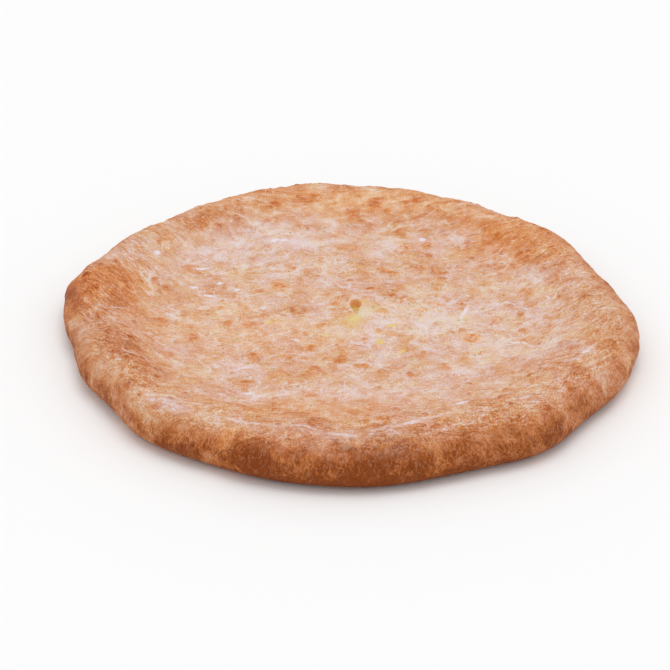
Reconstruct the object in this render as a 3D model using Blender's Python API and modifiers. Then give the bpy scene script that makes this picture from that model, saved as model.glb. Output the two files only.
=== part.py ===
"""Flat round pie with a closed crust: a puffed rim, a shallow dished top and a small vent where the filling shows.

Two sub-parts: the crust, one solid loaf from the flat base to the browned top, and the plug of melted filling
that stands in the vent. Metres, +Z up, origin in the middle of the base, front of the pie towards -Y.
"""

import bpy
import numpy as np
from mathutils import Vector, noise

MM = 0.001

# The blank: the section that is turned round Z before the hand-formed unevenness is put in.
PIE_RADIUS = 169.5 * MM
RIM_HEIGHT = 28.6 * MM
WIDEST_HEIGHT = 11.0 * MM
BASE_TUCK = 12.0 * MM
CREST_INSET = 21.0 * MM
SLOPE_WIDTH = 24.0 * MM
ROLL_REACH = 30.0 * MM
DISH_HEIGHT = 20.6 * MM
TOP_RINGS = 46
RIM_RINGS = 12
TURN_STEPS = 288

# Hand-formed outline, as (azimuth, half width, push outwards): azimuth from +X, towards +Y.
OUTLINE_LOBES = (
    (4, 18, 11.5 * MM),
    (10, 6, -2.5 * MM),
    (37, 11, 10.0 * MM),
    (60, 20, 6.0 * MM),
    (93, 11, 5.5 * MM),
    (144, 9, 3.0 * MM),
    (164, 5, 5.0 * MM),
    (189, 11, -10.0 * MM),
    (211, 13, -11.5 * MM),
    (240, 16, -6.0 * MM),
    (278, 9, 2.0 * MM),
    (312, 11, 8.0 * MM),
    (340, 15, 8.0 * MM),
)

# Where the rim puffs up or sinks, as (azimuth, half width, lift of the crest).
RIM_LIFTS = (
    (12, 22, -1.6 * MM),
    (62, 20, -1.0 * MM),
    (104, 16, 0.8 * MM),
    (140, 14, -1.2 * MM),
    (168, 9, 1.4 * MM),
    (188, 8, -1.6 * MM),
    (216, 15, 1.4 * MM),
    (262, 14, 0.7 * MM),
    (292, 8, -0.8 * MM),
    (318, 16, 0.9 * MM),
)

# Where the roll of the rim is broad or narrow, as (azimuth, half width, shift of the crest inwards).
RIM_ROLLS = (
    (20, 30, 7.0 * MM),
    (172, 16, 6.0 * MM),
    (205, 12, 3.0 * MM),
    (225, 14, -4.0 * MM),
    (285, 16, 5.0 * MM),
    (95, 35, -3.0 * MM),
)

# Slow unevenness of the dough, as (wavelength, height, start of the noise field), and its share on the side.
SWELLS = (
    (82.0 * MM, 2.2 * MM, 3.0),
    (30.0 * MM, 1.5 * MM, 11.0),
    (14.0 * MM, 0.9 * MM, 23.0),
)
SIDE_SWELL = 0.4

# Blisters that stand out of the top, as (x, y, length along X, width along Y, height).
BLISTERS = (
    (-23 * MM, 4 * MM, 22 * MM, 14 * MM, 1.2 * MM),
    (21 * MM, 54 * MM, 12 * MM, 11 * MM, 1.0 * MM),
    (13 * MM, 24 * MM, 10 * MM, 9 * MM, 0.9 * MM),
    (69 * MM, -30 * MM, 13 * MM, 10 * MM, 1.0 * MM),
    (56 * MM, -66 * MM, 12 * MM, 10 * MM, 0.9 * MM),
    (-4 * MM, -58 * MM, 13 * MM, 9 * MM, 0.9 * MM),
    (8 * MM, -66 * MM, 11 * MM, 9 * MM, 0.9 * MM),
    (-14 * MM, -39 * MM, 13 * MM, 11 * MM, 0.9 * MM),
    (52 * MM, 89 * MM, 13 * MM, 12 * MM, 1.0 * MM),
    (108 * MM, 27 * MM, 14 * MM, 12 * MM, 1.0 * MM),
    (-84 * MM, 106 * MM, 15 * MM, 13 * MM, 1.0 * MM),
    (-32 * MM, 70 * MM, 13 * MM, 11 * MM, 0.9 * MM),
    (20 * MM, 2 * MM, 8 * MM, 7 * MM, 0.8 * MM),
)

# Folds pressed into the dough, as (points along the fold in mm, half width, depth); a depth under 0 is a ridge.
FOLDS = (
    (((-150, -38), (-138, -54), (-120, -70), (-104, -84)), 4.5 * MM, 1.6 * MM),
    (((-60, -56), (-38, -57), (-14, -49), (4, -32)), 2.8 * MM, -0.8 * MM),
    (((-158, 16), (-140, 9), (-118, 6)), 3.4 * MM, 1.1 * MM),
    (((-156, -2), (-138, -7), (-116, -10)), 3.2 * MM, 1.0 * MM),
    (((156, 42), (138, 38), (112, 33)), 3.4 * MM, 1.1 * MM),
    (((160, 22), (140, 20), (120, 14)), 3.2 * MM, 1.0 * MM),
    (((152, -40), (134, -44), (110, -52)), 3.2 * MM, 1.0 * MM),
    (((-28, -151), (0, -153), (22, -148), (46, -136)), 4.0 * MM, 0.8 * MM),
)

CRUST_TRIANGLES = 9600
FLAT_SNAP = 0.25 * MM

# The vent and the filling in it: an oval hole that narrows downwards.
VENT_PLACE = (4.0 * MM, 7.0 * MM)
VENT_HALF_WIDTH = 3.2 * MM
VENT_STRETCH = 2.0
VENT_TAPER = 0.72
VENT_DEPTH = 7.0 * MM
VENT_STEPS = 40
FILLING_BELOW = 2.4 * MM
FILLING_DOME = 0.8 * MM
GAP = 0.3 * MM


def clear_scene():
    """Removes every object of the open scene."""
    for obj in list(bpy.data.objects):
        bpy.data.objects.remove(obj, do_unlink=True)


def collection(name, hidden=False):
    """A new collection under the scene's own."""
    made = bpy.data.collections.new(name)
    made.hide_render = hidden
    bpy.context.scene.collection.children.link(made)
    return made


def material(name, colour, roughness):
    """A plain Principled material, with its colour as linear red, green and blue."""
    made = bpy.data.materials.new(name)
    made.use_nodes = True
    shader = made.node_tree.nodes["Principled BSDF"]
    shader.inputs["Base Color"].default_value = (*colour, 1.0)
    shader.inputs["Roughness"].default_value = roughness
    shader.inputs["Metallic"].default_value = 0.0
    return made


def frozen_mesh(obj):
    """The mesh of an object with its modifiers applied."""
    graph = bpy.context.evaluated_depsgraph_get()
    graph.update()
    return bpy.data.meshes.new_from_object(obj.evaluated_get(graph))


def turned(name, profile, steps, group):
    """An object whose (radius, height) profile, from the top down, is turned round Z and made a plain mesh."""
    mesh = bpy.data.meshes.new(name)
    points = [(radius, 0.0, height) for radius, height in profile]
    mesh.from_pydata(points, [(i, i + 1) for i in range(len(points) - 1)], [])
    obj = bpy.data.objects.new(name, mesh)
    group.objects.link(obj)
    screw = obj.modifiers.new("turn", "SCREW")
    screw.steps = steps
    screw.render_steps = steps
    screw.use_merge_vertices = True
    screw.merge_threshold = 0.01 * MM
    obj.data = frozen_mesh(obj)
    obj.modifiers.clear()
    obj.data.name = name
    return obj


def smooth_step(value, low, high):
    """0 below low, 1 above high, and a smooth rise between them."""
    t = np.clip((value - low) / (high - low), 0.0, 1.0)
    return t * t * (3.0 - 2.0 * t)


def lobes(azimuth, table):
    """The sum of bell-shaped lobes round the pie, at azimuths in degrees."""
    total = np.zeros_like(azimuth)
    for middle, half_width, size in table:
        turn = (azimuth - middle + 180.0) % 360.0 - 180.0
        total += size * np.exp(-((turn / half_width) ** 2))
    return total


def dish_height(radius):
    """The height of the blank's top inside the crest: the rim sinks softly to the level of the dish."""
    inwards = (PIE_RADIUS - CREST_INSET - radius) / SLOPE_WIDTH
    return DISH_HEIGHT + (RIM_HEIGHT - DISH_HEIGHT) * np.exp(-(inwards**2))


def pie_profile():
    """The blank's half section from the middle of the top, over the rim, to the middle of the base."""
    crest = PIE_RADIUS - CREST_INSET
    points = []
    for i in range(TOP_RINGS):
        radius = crest * i / TOP_RINGS
        points.append((radius, dish_height(radius)))
    for i in range(RIM_RINGS):
        turn = np.pi / 2.0 * i / RIM_RINGS
        height = WIDEST_HEIGHT + (RIM_HEIGHT - WIDEST_HEIGHT) * np.cos(turn)
        points.append((crest + CREST_INSET * np.sin(turn), height))
    for i in range(RIM_RINGS // 2 + 1):
        turn = np.pi / 2.0 * i / (RIM_RINGS // 2)
        radius = PIE_RADIUS - BASE_TUCK + BASE_TUCK * np.cos(turn)
        points.append((radius, WIDEST_HEIGHT * (1.0 - np.sin(turn))))
    points.append((0.0, 0.0))
    return points


def outline_shift():
    """How far the middle of the uneven outline lies off the blank's axis, in X and Y."""
    turn = np.radians(np.arange(0.0, 360.0, 0.5))
    radius = PIE_RADIUS + lobes(np.degrees(turn), OUTLINE_LOBES)
    edge = np.stack([radius * np.cos(turn), radius * np.sin(turn)])
    return (edge.max(axis=1) + edge.min(axis=1)) / 2.0


def hand_formed(points):
    """Moves the turned blank's points to the uneven outline and rim of a pie formed by hand."""
    x, y, z = points.T
    radius = np.hypot(x, y)
    azimuth = np.degrees(np.arctan2(y, x)) % 360.0
    edge = smooth_step(radius, 0.45 * PIE_RADIUS, PIE_RADIUS)
    crest = PIE_RADIUS - CREST_INSET
    near_crest = np.exp(-(((radius - crest) / ROLL_REACH) ** 2)) * smooth_step(z, WIDEST_HEIGHT, RIM_HEIGHT)
    new_radius = radius + lobes(azimuth, OUTLINE_LOBES) * edge - lobes(azimuth, RIM_ROLLS) * near_crest
    rim = smooth_step(radius, crest - 2.0 * SLOPE_WIDTH, crest)
    new_z = z + lobes(azimuth, RIM_LIFTS) * rim * z / RIM_HEIGHT
    turn = np.radians(azimuth)
    shift_x, shift_y = outline_shift()
    return np.stack([new_radius * np.cos(turn) - shift_x, new_radius * np.sin(turn) - shift_y, new_z], axis=1)


def fold_depth(x, y, stations, half_width, depth):
    """How deep a fold is pressed in at points of the top: it fades out towards both of its ends."""
    corners = np.array(stations) * MM
    best = np.full_like(x, np.inf)
    along = np.zeros_like(x)
    for i, (start, end) in enumerate(zip(corners[:-1], corners[1:])):
        step = end - start
        t = np.clip(((x - start[0]) * step[0] + (y - start[1]) * step[1]) / (step @ step), 0.0, 1.0)
        distance = np.hypot(x - start[0] - t * step[0], y - start[1] - t * step[1])
        nearer = distance < best
        best = np.where(nearer, distance, best)
        along = np.where(nearer, (i + t) / (len(corners) - 1), along)
    fade = np.sin(np.pi * np.clip(along, 0.04, 0.96))
    return depth * fade * np.exp(-((best / half_width) ** 2))


def swell_height(point):
    """The slow unevenness of the dough at one point."""
    total = 0.0
    for wavelength, height, start in SWELLS:
        total += height * noise.noise(Vector(point) / wavelength + Vector((start, -start, 0.5 * start)))
    return total


def relief(points):
    """How far each point of the surface stands out of, or under, the smooth crust."""
    x, y, z = points.T
    top = smooth_step(z, 0.6 * RIM_HEIGHT, 0.72 * RIM_HEIGHT)
    height = np.array([swell_height(point) for point in points]) * (SIDE_SWELL + (1.0 - SIDE_SWELL) * top)
    for middle_x, middle_y, length, width, rise in BLISTERS:
        away = np.hypot((x - middle_x) / length * 2.0, (y - middle_y) / width * 2.0)
        height += top * rise * (1.0 - smooth_step(away, 0.0, 1.15))
    for stations, half_width, depth in FOLDS:
        height -= top * fold_depth(x, y, stations, half_width, depth)
    return height * smooth_step(z, 0.0, WIDEST_HEIGHT)


def make_crust(group):
    """The whole loaf: a turned blank, formed by hand, with its relief, in triangles spent where the form turns."""
    crust = turned("crust", pie_profile(), TURN_STEPS, group)
    mesh = crust.data
    flat = np.empty(len(mesh.vertices) * 3, np.float32)
    mesh.vertices.foreach_get("co", flat)
    points = hand_formed(flat.reshape(-1, 3).astype(np.float64))
    mesh.vertices.foreach_set("co", points.ravel())
    mesh.update()
    normals = np.empty_like(flat)
    mesh.vertices.foreach_get("normal", normals)
    points += normals.reshape(-1, 3) * relief(points)[:, None]
    mesh.vertices.foreach_set("co", points.ravel())
    mesh.update()
    thin = crust.modifiers.new("thin out", "DECIMATE")
    thin.ratio = CRUST_TRIANGLES / sum(len(face.vertices) - 2 for face in mesh.polygons)
    crust.data = frozen_mesh(crust)
    crust.modifiers.clear()
    for vertex in crust.data.vertices:
        if vertex.co.z < FLAT_SNAP:
            vertex.co.z = 0.0
    crust.data.name = "crust"
    crust.data.shade_smooth()
    return crust


def top_height(crust, place):
    """The height of the crust's top straight above a place of the base."""
    hit, where, _, _ = crust.ray_cast(Vector((*place, 1.0)), Vector((0.0, 0.0, -1.0)))
    if not hit:
        raise ValueError("the vent lies off the crust")
    return where.z


def oval_plug(name, profile, group):
    """A turned plug, stretched along Y and set in the vent's place."""
    plug = turned(name, profile, VENT_STEPS, group)
    for vertex in plug.data.vertices:
        vertex.co.x += VENT_PLACE[0]
        vertex.co.y = vertex.co.y * VENT_STRETCH + VENT_PLACE[1]
    plug.data.shade_smooth()
    return plug


def cut_vent(crust, surface, cutters):
    """Cuts the vent into the top of the crust."""
    floor = surface - VENT_DEPTH
    above = surface + VENT_DEPTH
    narrow = VENT_HALF_WIDTH * VENT_TAPER
    wide = VENT_HALF_WIDTH * (2.0 - VENT_TAPER)
    cutter = oval_plug("vent_cutter", [(0.0, above), (wide, above), (narrow, floor), (0.0, floor)], cutters)
    cutter.hide_render = True
    cutter.display_type = "WIRE"
    cut = crust.modifiers.new("vent", "BOOLEAN")
    cut.operation = "DIFFERENCE"
    cut.object = cutter


def make_filling(surface, group):
    """The melted filling that stands in the vent, a hair clear of its wall and floor."""
    floor = surface - VENT_DEPTH
    brim = surface - FILLING_BELOW
    narrow = VENT_HALF_WIDTH * VENT_TAPER
    slope = (1.0 - VENT_TAPER) * VENT_HALF_WIDTH / VENT_DEPTH
    low = floor + GAP
    profile = [(0.0, brim + FILLING_DOME)]
    for share in (0.35, 0.65, 0.88):
        profile.append((share * (narrow + slope * (brim - floor) - GAP), brim + FILLING_DOME * (1.0 - share**2)))
    profile.append((narrow + slope * (brim - floor) - GAP, brim))
    profile.append((narrow + slope * (low - floor) - GAP, low))
    profile.append((0.0, low))
    return oval_plug("filling", profile, group)


def main():
    clear_scene()
    parts = collection("chicken_pie")
    cutters = collection("cutters", hidden=True)
    crust = make_crust(parts)
    crust.data.materials.append(material("baked_crust", (0.69, 0.42, 0.26), 0.62))
    surface = top_height(crust, VENT_PLACE)
    cut_vent(crust, surface, cutters)
    filling = make_filling(surface, parts)
    filling.data.materials.append(material("melted_filling", (0.78, 0.56, 0.24), 0.3))


main()
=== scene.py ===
"""Looks of a flat round pie: its browned, floury crust, its melted filling, and a plain studio.

The skin repeats the dough's form from the same named sizes as the solid, on a finer grid, and adds
the low relief of the baked surface. Colour and relief come from the same patterns. Metres, +Z up,
front of the pie towards -Y.
"""

import bpy
import numpy as np
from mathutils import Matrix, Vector, noise


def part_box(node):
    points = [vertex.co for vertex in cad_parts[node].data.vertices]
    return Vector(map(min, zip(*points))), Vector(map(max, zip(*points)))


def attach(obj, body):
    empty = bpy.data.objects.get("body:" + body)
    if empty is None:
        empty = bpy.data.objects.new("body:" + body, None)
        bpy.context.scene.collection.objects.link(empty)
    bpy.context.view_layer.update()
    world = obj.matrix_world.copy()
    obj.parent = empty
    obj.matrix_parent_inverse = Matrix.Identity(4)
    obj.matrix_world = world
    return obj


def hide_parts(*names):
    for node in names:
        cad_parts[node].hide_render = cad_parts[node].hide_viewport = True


bl_info = {
    "name": "Hand-formed pie",
    "version": (1, 0, 0),
    "blender": (4, 5, 0),
    "location": "3D View > Sidebar > Pie",
    "description": "Makes a flat closed pie with a browned, floury crust and a filled vent",
    "category": "Add Mesh",
}

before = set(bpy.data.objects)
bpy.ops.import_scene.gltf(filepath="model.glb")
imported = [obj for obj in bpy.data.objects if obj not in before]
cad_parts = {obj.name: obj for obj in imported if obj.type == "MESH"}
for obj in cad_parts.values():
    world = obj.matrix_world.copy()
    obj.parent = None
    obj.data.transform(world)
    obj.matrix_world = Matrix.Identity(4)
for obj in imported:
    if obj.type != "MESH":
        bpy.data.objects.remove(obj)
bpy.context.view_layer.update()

MM = 0.001
BODY = "root"

# -----------------------------------------------------------------------------
# The form of the dough, as in the solid.

PIE_RADIUS = 169.5 * MM
RIM_HEIGHT = 28.6 * MM
WIDEST_HEIGHT = 11.0 * MM
BASE_TUCK = 12.0 * MM
CREST_INSET = 21.0 * MM
SLOPE_WIDTH = 24.0 * MM
ROLL_REACH = 30.0 * MM
DISH_HEIGHT = 20.6 * MM
CREST_RADIUS = PIE_RADIUS - CREST_INSET

# The uneven outline, as (azimuth, half width, push outwards in mm), from +X towards +Y. It was
# fitted to the outline in the photo and rounded.
OUTLINE_LOBES = (
    (4, 18, 11.5), (10, 6, -2.5), (37, 11, 10.0), (60, 20, 6.0), (93, 11, 5.5), (144, 9, 3.0),
    (164, 5, 5.0), (189, 11, -10.0), (211, 13, -11.5), (240, 16, -6.0), (278, 9, 2.0),
    (312, 11, 8.0),
    (340, 15, 8.0),
)

# Where the rim puffs up or sinks, as (azimuth, half width, lift of the crest in mm).
RIM_LIFTS = (
    (12, 22, -1.6), (62, 20, -1.0), (104, 16, 0.8), (140, 14, -1.2), (168, 9, 1.4), (188, 8, -1.6),
    (216, 15, 1.4), (262, 14, 0.7), (292, 8, -0.8), (318, 16, 0.9),
)

# Where the roll of the rim is broad or narrow, as (azimuth, half width, shift of the crest inwards
# in mm).
RIM_ROLLS = (
    (20, 30, 7.0), (172, 16, 6.0), (205, 12, 3.0), (225, 14, -4.0), (285, 16, 5.0), (95, 35, -3.0),
)

# Slow unevenness of the dough, as (wavelength, height, start of the noise field), and its share on
# the side.
SWELLS = (
    (82.0 * MM, 2.2 * MM, 3.0),
    (30.0 * MM, 1.5 * MM, 11.0),
    (14.0 * MM, 0.9 * MM, 23.0),
)
SIDE_SWELL = 0.4

# Blisters that stand out of the top, as (x, y, length along X, width along Y, height), in mm.
BLISTERS = (
    (-23, 4, 22, 14, 1.2), (21, 54, 12, 11, 1.0), (13, 24, 10, 9, 0.9), (69, -30, 13, 10, 1.0),
    (56, -66, 12, 10, 0.9), (-4, -58, 13, 9, 0.9), (8, -66, 11, 9, 0.9), (-14, -39, 13, 11, 0.9),
    (52, 89, 13, 12, 1.0), (108, 27, 14, 12, 1.0), (-84, 106, 15, 13, 1.0), (-32, 70, 13, 11, 0.9),
    (20, 2, 8, 7, 0.8),
)

# Folds pressed into the dough, as (points along the fold, half width, depth), in mm; a depth under 0
# is a ridge.
FOLDS = (
    (((-150, -38), (-138, -54), (-120, -70), (-104, -84)), 4.5, 1.6),
    (((-60, -56), (-38, -57), (-14, -49), (4, -32)), 2.8, -0.8),
    (((-158, 16), (-140, 9), (-118, 6)), 3.4, 1.1), (((-156, -2), (-138, -7),
    (-116, -10)), 3.2, 1.0),
    (((156, 42), (138, 38), (112, 33)), 3.4, 1.1), (((160, 22), (140, 20), (120, 14)), 3.2, 1.0),
    (((152, -40), (134, -44), (110, -52)), 3.2, 1.0),
    (((-28, -151), (0, -153), (22, -148), (46, -136)), 4.0, 0.8),
)

# The vent: a drop shape, round at the far end and narrow at the near one.
VENT_PLACE = (4.0 * MM, 7.0 * MM)
VENT_HALF_WIDTH = 3.2 * MM
VENT_HALF_LENGTH = 6.6 * MM
VENT_DEPTH = 5.6 * MM
VENT_NARROWING = 0.55
VENT_TAIL = 1.45
VENT_WALL = (0.84, 1.03)
LIP_HEIGHT = 0.45 * MM
LIP_REACH = 0.28
FAR_FROM_VENT = 4.0

# The filling: rings of its grid, its rise over the solid's level, its unevenness and its thickness.
FILLING_RINGS = 18
FILLING_RISE = 1.6 * MM
RIPPLE_LENGTH = 2.2 * MM
RIPPLE_HEIGHT = 0.35 * MM
FILLING_DOME = 0.3 * MM
FILLING_THINNEST = 0.4 * MM
FILLING_FOOT = 0.2 * MM

# -----------------------------------------------------------------------------
# The grid of the skin: rings of six more points each, drawn together round the vent.

TOP_GRID_RINGS = 176
BASE_GRID_RINGS = 22
SECTION_STEPS = 400
UNDERSIDE_RINGS = 5
VENT_CLOSENESS = 0.3
VENT_REACH = 24.0 * MM

# How the bands of the dough run: level along the middle of the pie, bending up towards both sides.
FLOW_BEND = 0.8
FLOW_TURN = 50.0
FLOW_FAN = 8.0
FLOW_TILT = 0.45
TILT_PLACE = (-50.0 * MM, 62.0 * MM)
TILT_REACH = 55.0 * MM

# Browned bumps scattered over the dish, as (size of a cell, hardness of the edge, start, share of
# cells that hold a bump).
SMALL_BUMPS = (9.0 * MM, 0.5, 0.033, 0.40)
WIDE_BUMPS = (19.0 * MM, 0.6, 0.071, 0.50)

# Creases between the pillows, as (length between them, start).
NARROW_CREASES = (6.5 * MM, 101.0)
WIDE_CREASES = (11.0 * MM, 111.0)

# -----------------------------------------------------------------------------
# Baking, from 0 for pale dough to 1 for nearly burnt: the level by place, and what adds to it.

# On the side and in some patches this level also holds painted shade and painted light.
DISH_BAKE = 0.220
RIM_BAKE = 0.125
# The side's level darkens it towards its base: partly real browning, partly painted shade.
SIDE_BAKE_AND_SHADE = 0.42
UNDER_BAKE = 0.80
SPOT_BAKE = 0.85

# Where the side is darker or paler, as (azimuth, half width, strength): painted shade on the front,
# which faces away from the light, painted light along the paler outline at the left and right, and
# some real browning.
SIDE_BROWNING_SHADE_AND_LIGHT = (
    (268, 34, 0.34), (318, 14, 0.10), (190, 18, -0.15), (211, 12, -0.26), (233, 20, -0.27),
    (350, 20, -0.14), (90, 60, 0.10),
)

# Patches as (x, y, length, width, turn in degrees, strength); sizes are across, in mm.
# The patches are partly real browning and partly painted shade and light: darker on slopes that face
# away from the light, as the front crest's outer face and the left corner, lighter on the back rim.
BAKE_AND_SHADE_PATCHES = (
    (60, -8, 110, 46, 0, -0.15), (88, -44, 70, 36, 0, -0.05), (-60, 84, 100, 40, 12, -0.07),
    (-18, -122, 70, 34, 0, 0.08), (68, 52, 62, 34, 0, 0.08), (100, 88, 70, 60, -40, 0.175),
    (-5, 140, 170, 34, 0, -0.05), (0, -160, 230, 34, 0, 0.12), (-100, -132, 60, 40, -35, 0.08),
    (-110, 10, 60, 90, 0, 0.04), (0, -128, 150, 50, 0, 0.03), (-85, 108, 60, 28, 38, 0.08),
    (-152, 30, 50, 60, 70, 0.22), (-158, 6, 40, 50, 80, 0.16), (-134, -82, 60, 60, 40, 0.20),
    (-138, -40, 60, 70, 40, 0.12), (135, -70, 80, 50, 40, 0.07), (156, -36, 44, 60, 0, 0.06),
    (40, 121, 80, 30, 0, 0.07), (109, -53, 60, 40, 0, -0.08), (-80, -5, 130, 60, 0, -0.02),
    (118, -24, 60, 40, 10, 0.05),
)

# Browned spots of the dish, as (x, y, size across, strength), in mm.
BROWN_SPOTS = (
    (-31, 0, 13, 0.18), (-25, 1, 8, 0.24), (-36, 2, 8, 0.10), (-43, 29, 12, 0.16),
    (-8, 10, 7, 0.20),
    (50, 88, 10, 0.32), (37, 87, 11, 0.22), (34, 105, 10, 0.22), (27, 51, 8, 0.30),
    (13, 27, 6, 0.45),
    (21, 54, 9, 0.24), (44, 56, 10, 0.20), (28, 17, 7, 0.20), (44, 4, 8, 0.26), (75, 29, 6, 0.14),
    (108, 23, 11, 0.30), (56, 10, 7, 0.16), (72, -31, 10, 0.32), (56, -66, 11, 0.20),
    (-36, 55, 11, 0.24),
    (-42, 34, 14, 0.22), (-98, 55, 14, 0.18), (-93, -31, 11, 0.16), (-57, -52, 8, 0.22),
    (-5, -58, 10, 0.24), (-22.5, -41, 9, 0.38), (6, -65, 9, 0.30), (-20, -71, 14, 0.24),
    (-63, -82, 13, 0.10), (-23, -99, 11, 0.24), (-53, -124, 14, 0.12), (-83, 104, 9, 0.28),
    (-47, 131, 9, 0.26), (-9, 104, 11, 0.22), (-26, 142, 18, 0.22), (3, 126, 12, 0.26),
    (18, 137, 14, 0.22),
    (43, 142, 12, 0.22), (-161, 37, 6, 0.42), (-135, 21, 5, 0.20), (-141, -39, 7, 0.30),
    (20, 0, 8, 0.26),
    (31, -6, 3, 0.30), (0, 15, 6, 0.22),
)

# Thin brown lines in creases, as (points along the crease, half width, strength); lengths in mm.
# They are partly browning and partly painted shade, as below the fold at the front left.
BROWN_AND_SHADE_STREAKS = (
    (((-8, 10), (-5, 17), (4, 20)), 1.6, 0.30), (((-5, -36), (4, -35), (12, -32)), 1.0, 0.14),
    (((42, 20), (52, 22), (66, 17)), 1.0, 0.14), (((-100, -6), (-84, -4), (-66, -8)), 1.4, 0.10),
    (((-142, -64), (-130, -66), (-122, -70), (-114, -79)), 1.4, 0.15),
    (((-30, -64), (-12, -66), (2, -72)), 1.2, 0.10), (((60, -46), (76, -48), (92, -44)), 1.2, 0.10),
    (((-92, -104), (-70, -112), (-46, -112)), 1.4, 0.12),
)

# Where the brown leans to orange, as the patches above; a strength under 0 takes orange away.
ORANGE_PATCHES = (
    (-10, 140, 190, 40, 0, 0.7), (105, 92, 90, 60, -40, 0.9), (-158, 34, 40, 60, 70, 1.0),
    (40, 140, 60, 30, 0, 0.2), (-20, -118, 90, 40, 0, 0.5), (-60, -20, 120, 70, 0, 0.4),
    (-158, 16, 30, 40, 80, 0.6), (-67, -147, 12, 9, 0, 1.0), (72, -31, 12, 10, 0, 1.0),
    (-40, -166, 160, 20, -6, 0.4), (-30, 1, 24, 14, 0, -1.3), (-44, 14, 18, 12, 0, -0.7),
)

# Dusted flour, as the patches above.
FLOUR_PATCHES = (
    (-84, 72, 52, 22, 14, 0.60), (-60, 98, 60, 24, 10, 0.65), (-14, 98, 56, 26, 0, 0.32),
    (66, 94, 26, 16, -8, 0.80), (114, 43, 28, 16, -30, 0.42), (-106, -118, 34, 12, -32, 0.60),
    (-103, -122, 28, 7, -30, 0.55), (-103, -46, 22, 12, -10, 0.55), (30, -100, 120, 30, 4, 0.30),
    (122, -52, 46, 14, -22, 0.45), (-150, 62, 24, 10, 60, 0.80), (88, 134, 30, 8, -30, 1.00),
    (-45, -148, 90, 8, -14, 0.25), (15, -154, 60, 7, 6, 0.35), (-160, -30, 20, 60, 20, 0.35),
    (0, -166, 170, 16, 0, 0.45),
)

# Single flecks and streaks of flour, as (x, y, length, width, turn, strength), in mm.
FLOUR_FLECKS = (
    (-78.5, 38, 5.5, 4.4, 0, 1.0), (-95, 32, 6, 3.6, -20, 1.0), (-85, 21, 9, 2.2, -8, 1.0),
    (-68, 28, 5, 3.4, 20, 0.9), (-47, 91, 8, 3.4, 50, 0.8), (-41, 92, 6, 4.0, -10, 0.8),
    (-120, 72, 5, 6.0, 20, 0.9), (47, 96, 5, 4.0, 0, 1.0), (69, 0, 2.2, 26, -18, 0.8),
    (-58, -94, 9, 3.0, 10, 0.8), (-64, -68, 30, 2.2, 42, 0.5), (8, 26, 20, 1.8, -22, 0.7),
    (-92, 57, 13, 3.0, 12, 0.8), (-78, 52, 10, 2.6, 20, 0.6), (63, -118, 12, 6.0, 6, 0.6),
    (-111, -117, 14, 3.4, -40, 0.5), (-99, -126, 11, 4.0, -30, 0.6), (121, 13, 6, 1.8, -60, 0.8),
    (169, -30, 4, 9.0, -10, 0.7), (-52, 4, 7, 4.0, 0, 0.5), (-9, -155, 10, 2.2, 0, 0.7),
    (0, -156, 14, 4.0, -8, 0.6),
)

# Streaks of flour, as (points along the streak, half width, strength); lengths in mm.
FLOUR_STREAKS = (
    (((-97, -125), (-83, -130), (-67, -137), (-55, -142), (-44, -148), (-33, -151)), 0.9, 0.7),
    (((-44, -148), (-28, -150), (-14, -154), (0, -155), (16, -150), (25, -146)), 1.3, 0.75),
    (((16, -151), (23, -149), (30, -146), (36, -143), (42, -139), (50, -135),
    (56, -132)), 1.8, 0.9),
    (((-39, -3), (-35, -7), (-30, -8), (-25, -6), (-20, -3)), 0.8, 0.8),
    (((8, -155), (20, -154), (31, -153)), 1.1, 0.8),
    (((-120, -104), (-109, -116), (-95, -124), (-80, -133), (-62, -137)), 1.1, 0.40),
    (((-103, -112), (-92, -119), (-76, -122)), 1.2, 0.50),
    (((-66, -70), (-54, -61), (-42, -51), (-28, -50), (-10, -47), (6, -36)), 0.8, 0.65),
    (((74, 12), (69, -3), (65, -15)), 0.8, 1.0), (((134, -8), (144, -4), (154, 4)), 0.9, 0.7),
    (((92, -30), (97, -37), (103, -38), (108, -46), (113, -47), (119, -57)), 1.1, 1.2),
    (((124, -76), (131, -73), (135, -66), (140, -60)), 1.4, 1.1),
    (((112, -23), (118, -24), (124, -26)), 0.8, 0.5),
    (((8, -98), (37, -97), (49, -89), (61, -82)), 1.0, 0.6),
    (((-163, 8), (-155, 1), (-147, -4), (-136, -5), (-125, -4)), 0.8, 0.50),
    (((-158, -12), (-146, -17), (-136, -25), (-122, -31), (-106, -34)), 0.6, 0.35),
    (((-155, 31), (-146, 18), (-134, 8), (-120, 2)), 0.6, 0.25),
    (((-146, -57), (-139, -60), (-130, -62), (-121, -66), (-115, -72), (-109, -83)), 0.7, 0.55),
    (((140, -12), (152, -8), (162, 1)), 0.7, 0.5), (((128, 4), (142, 8), (158, 20)), 0.6, 0.4),
    (((116, 50), (126, 56), (135, 61)), 0.7, 0.8), (((118, 30), (134, 40), (150, 46)), 0.6, 0.4),
    (((-110, 58), (-96, 62), (-84, 72)), 1.0, 0.6), (((-96, 48), (-84, 51), (-72, 58)), 0.9, 0.6),
    (((-66, 56), (-52, 64), (-40, 66)), 1.0, 0.7), (((-50, 44), (-36, 50), (-22, 60)), 0.9, 0.7),
    (((-30, 68), (-14, 72), (-2, 72)), 1.0, 0.5),
    (((-44, -16), (-28, -22), (-10, -26), (4, -26)), 1.0, 0.4),
)

STREAK_REACH = 7.0

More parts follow.
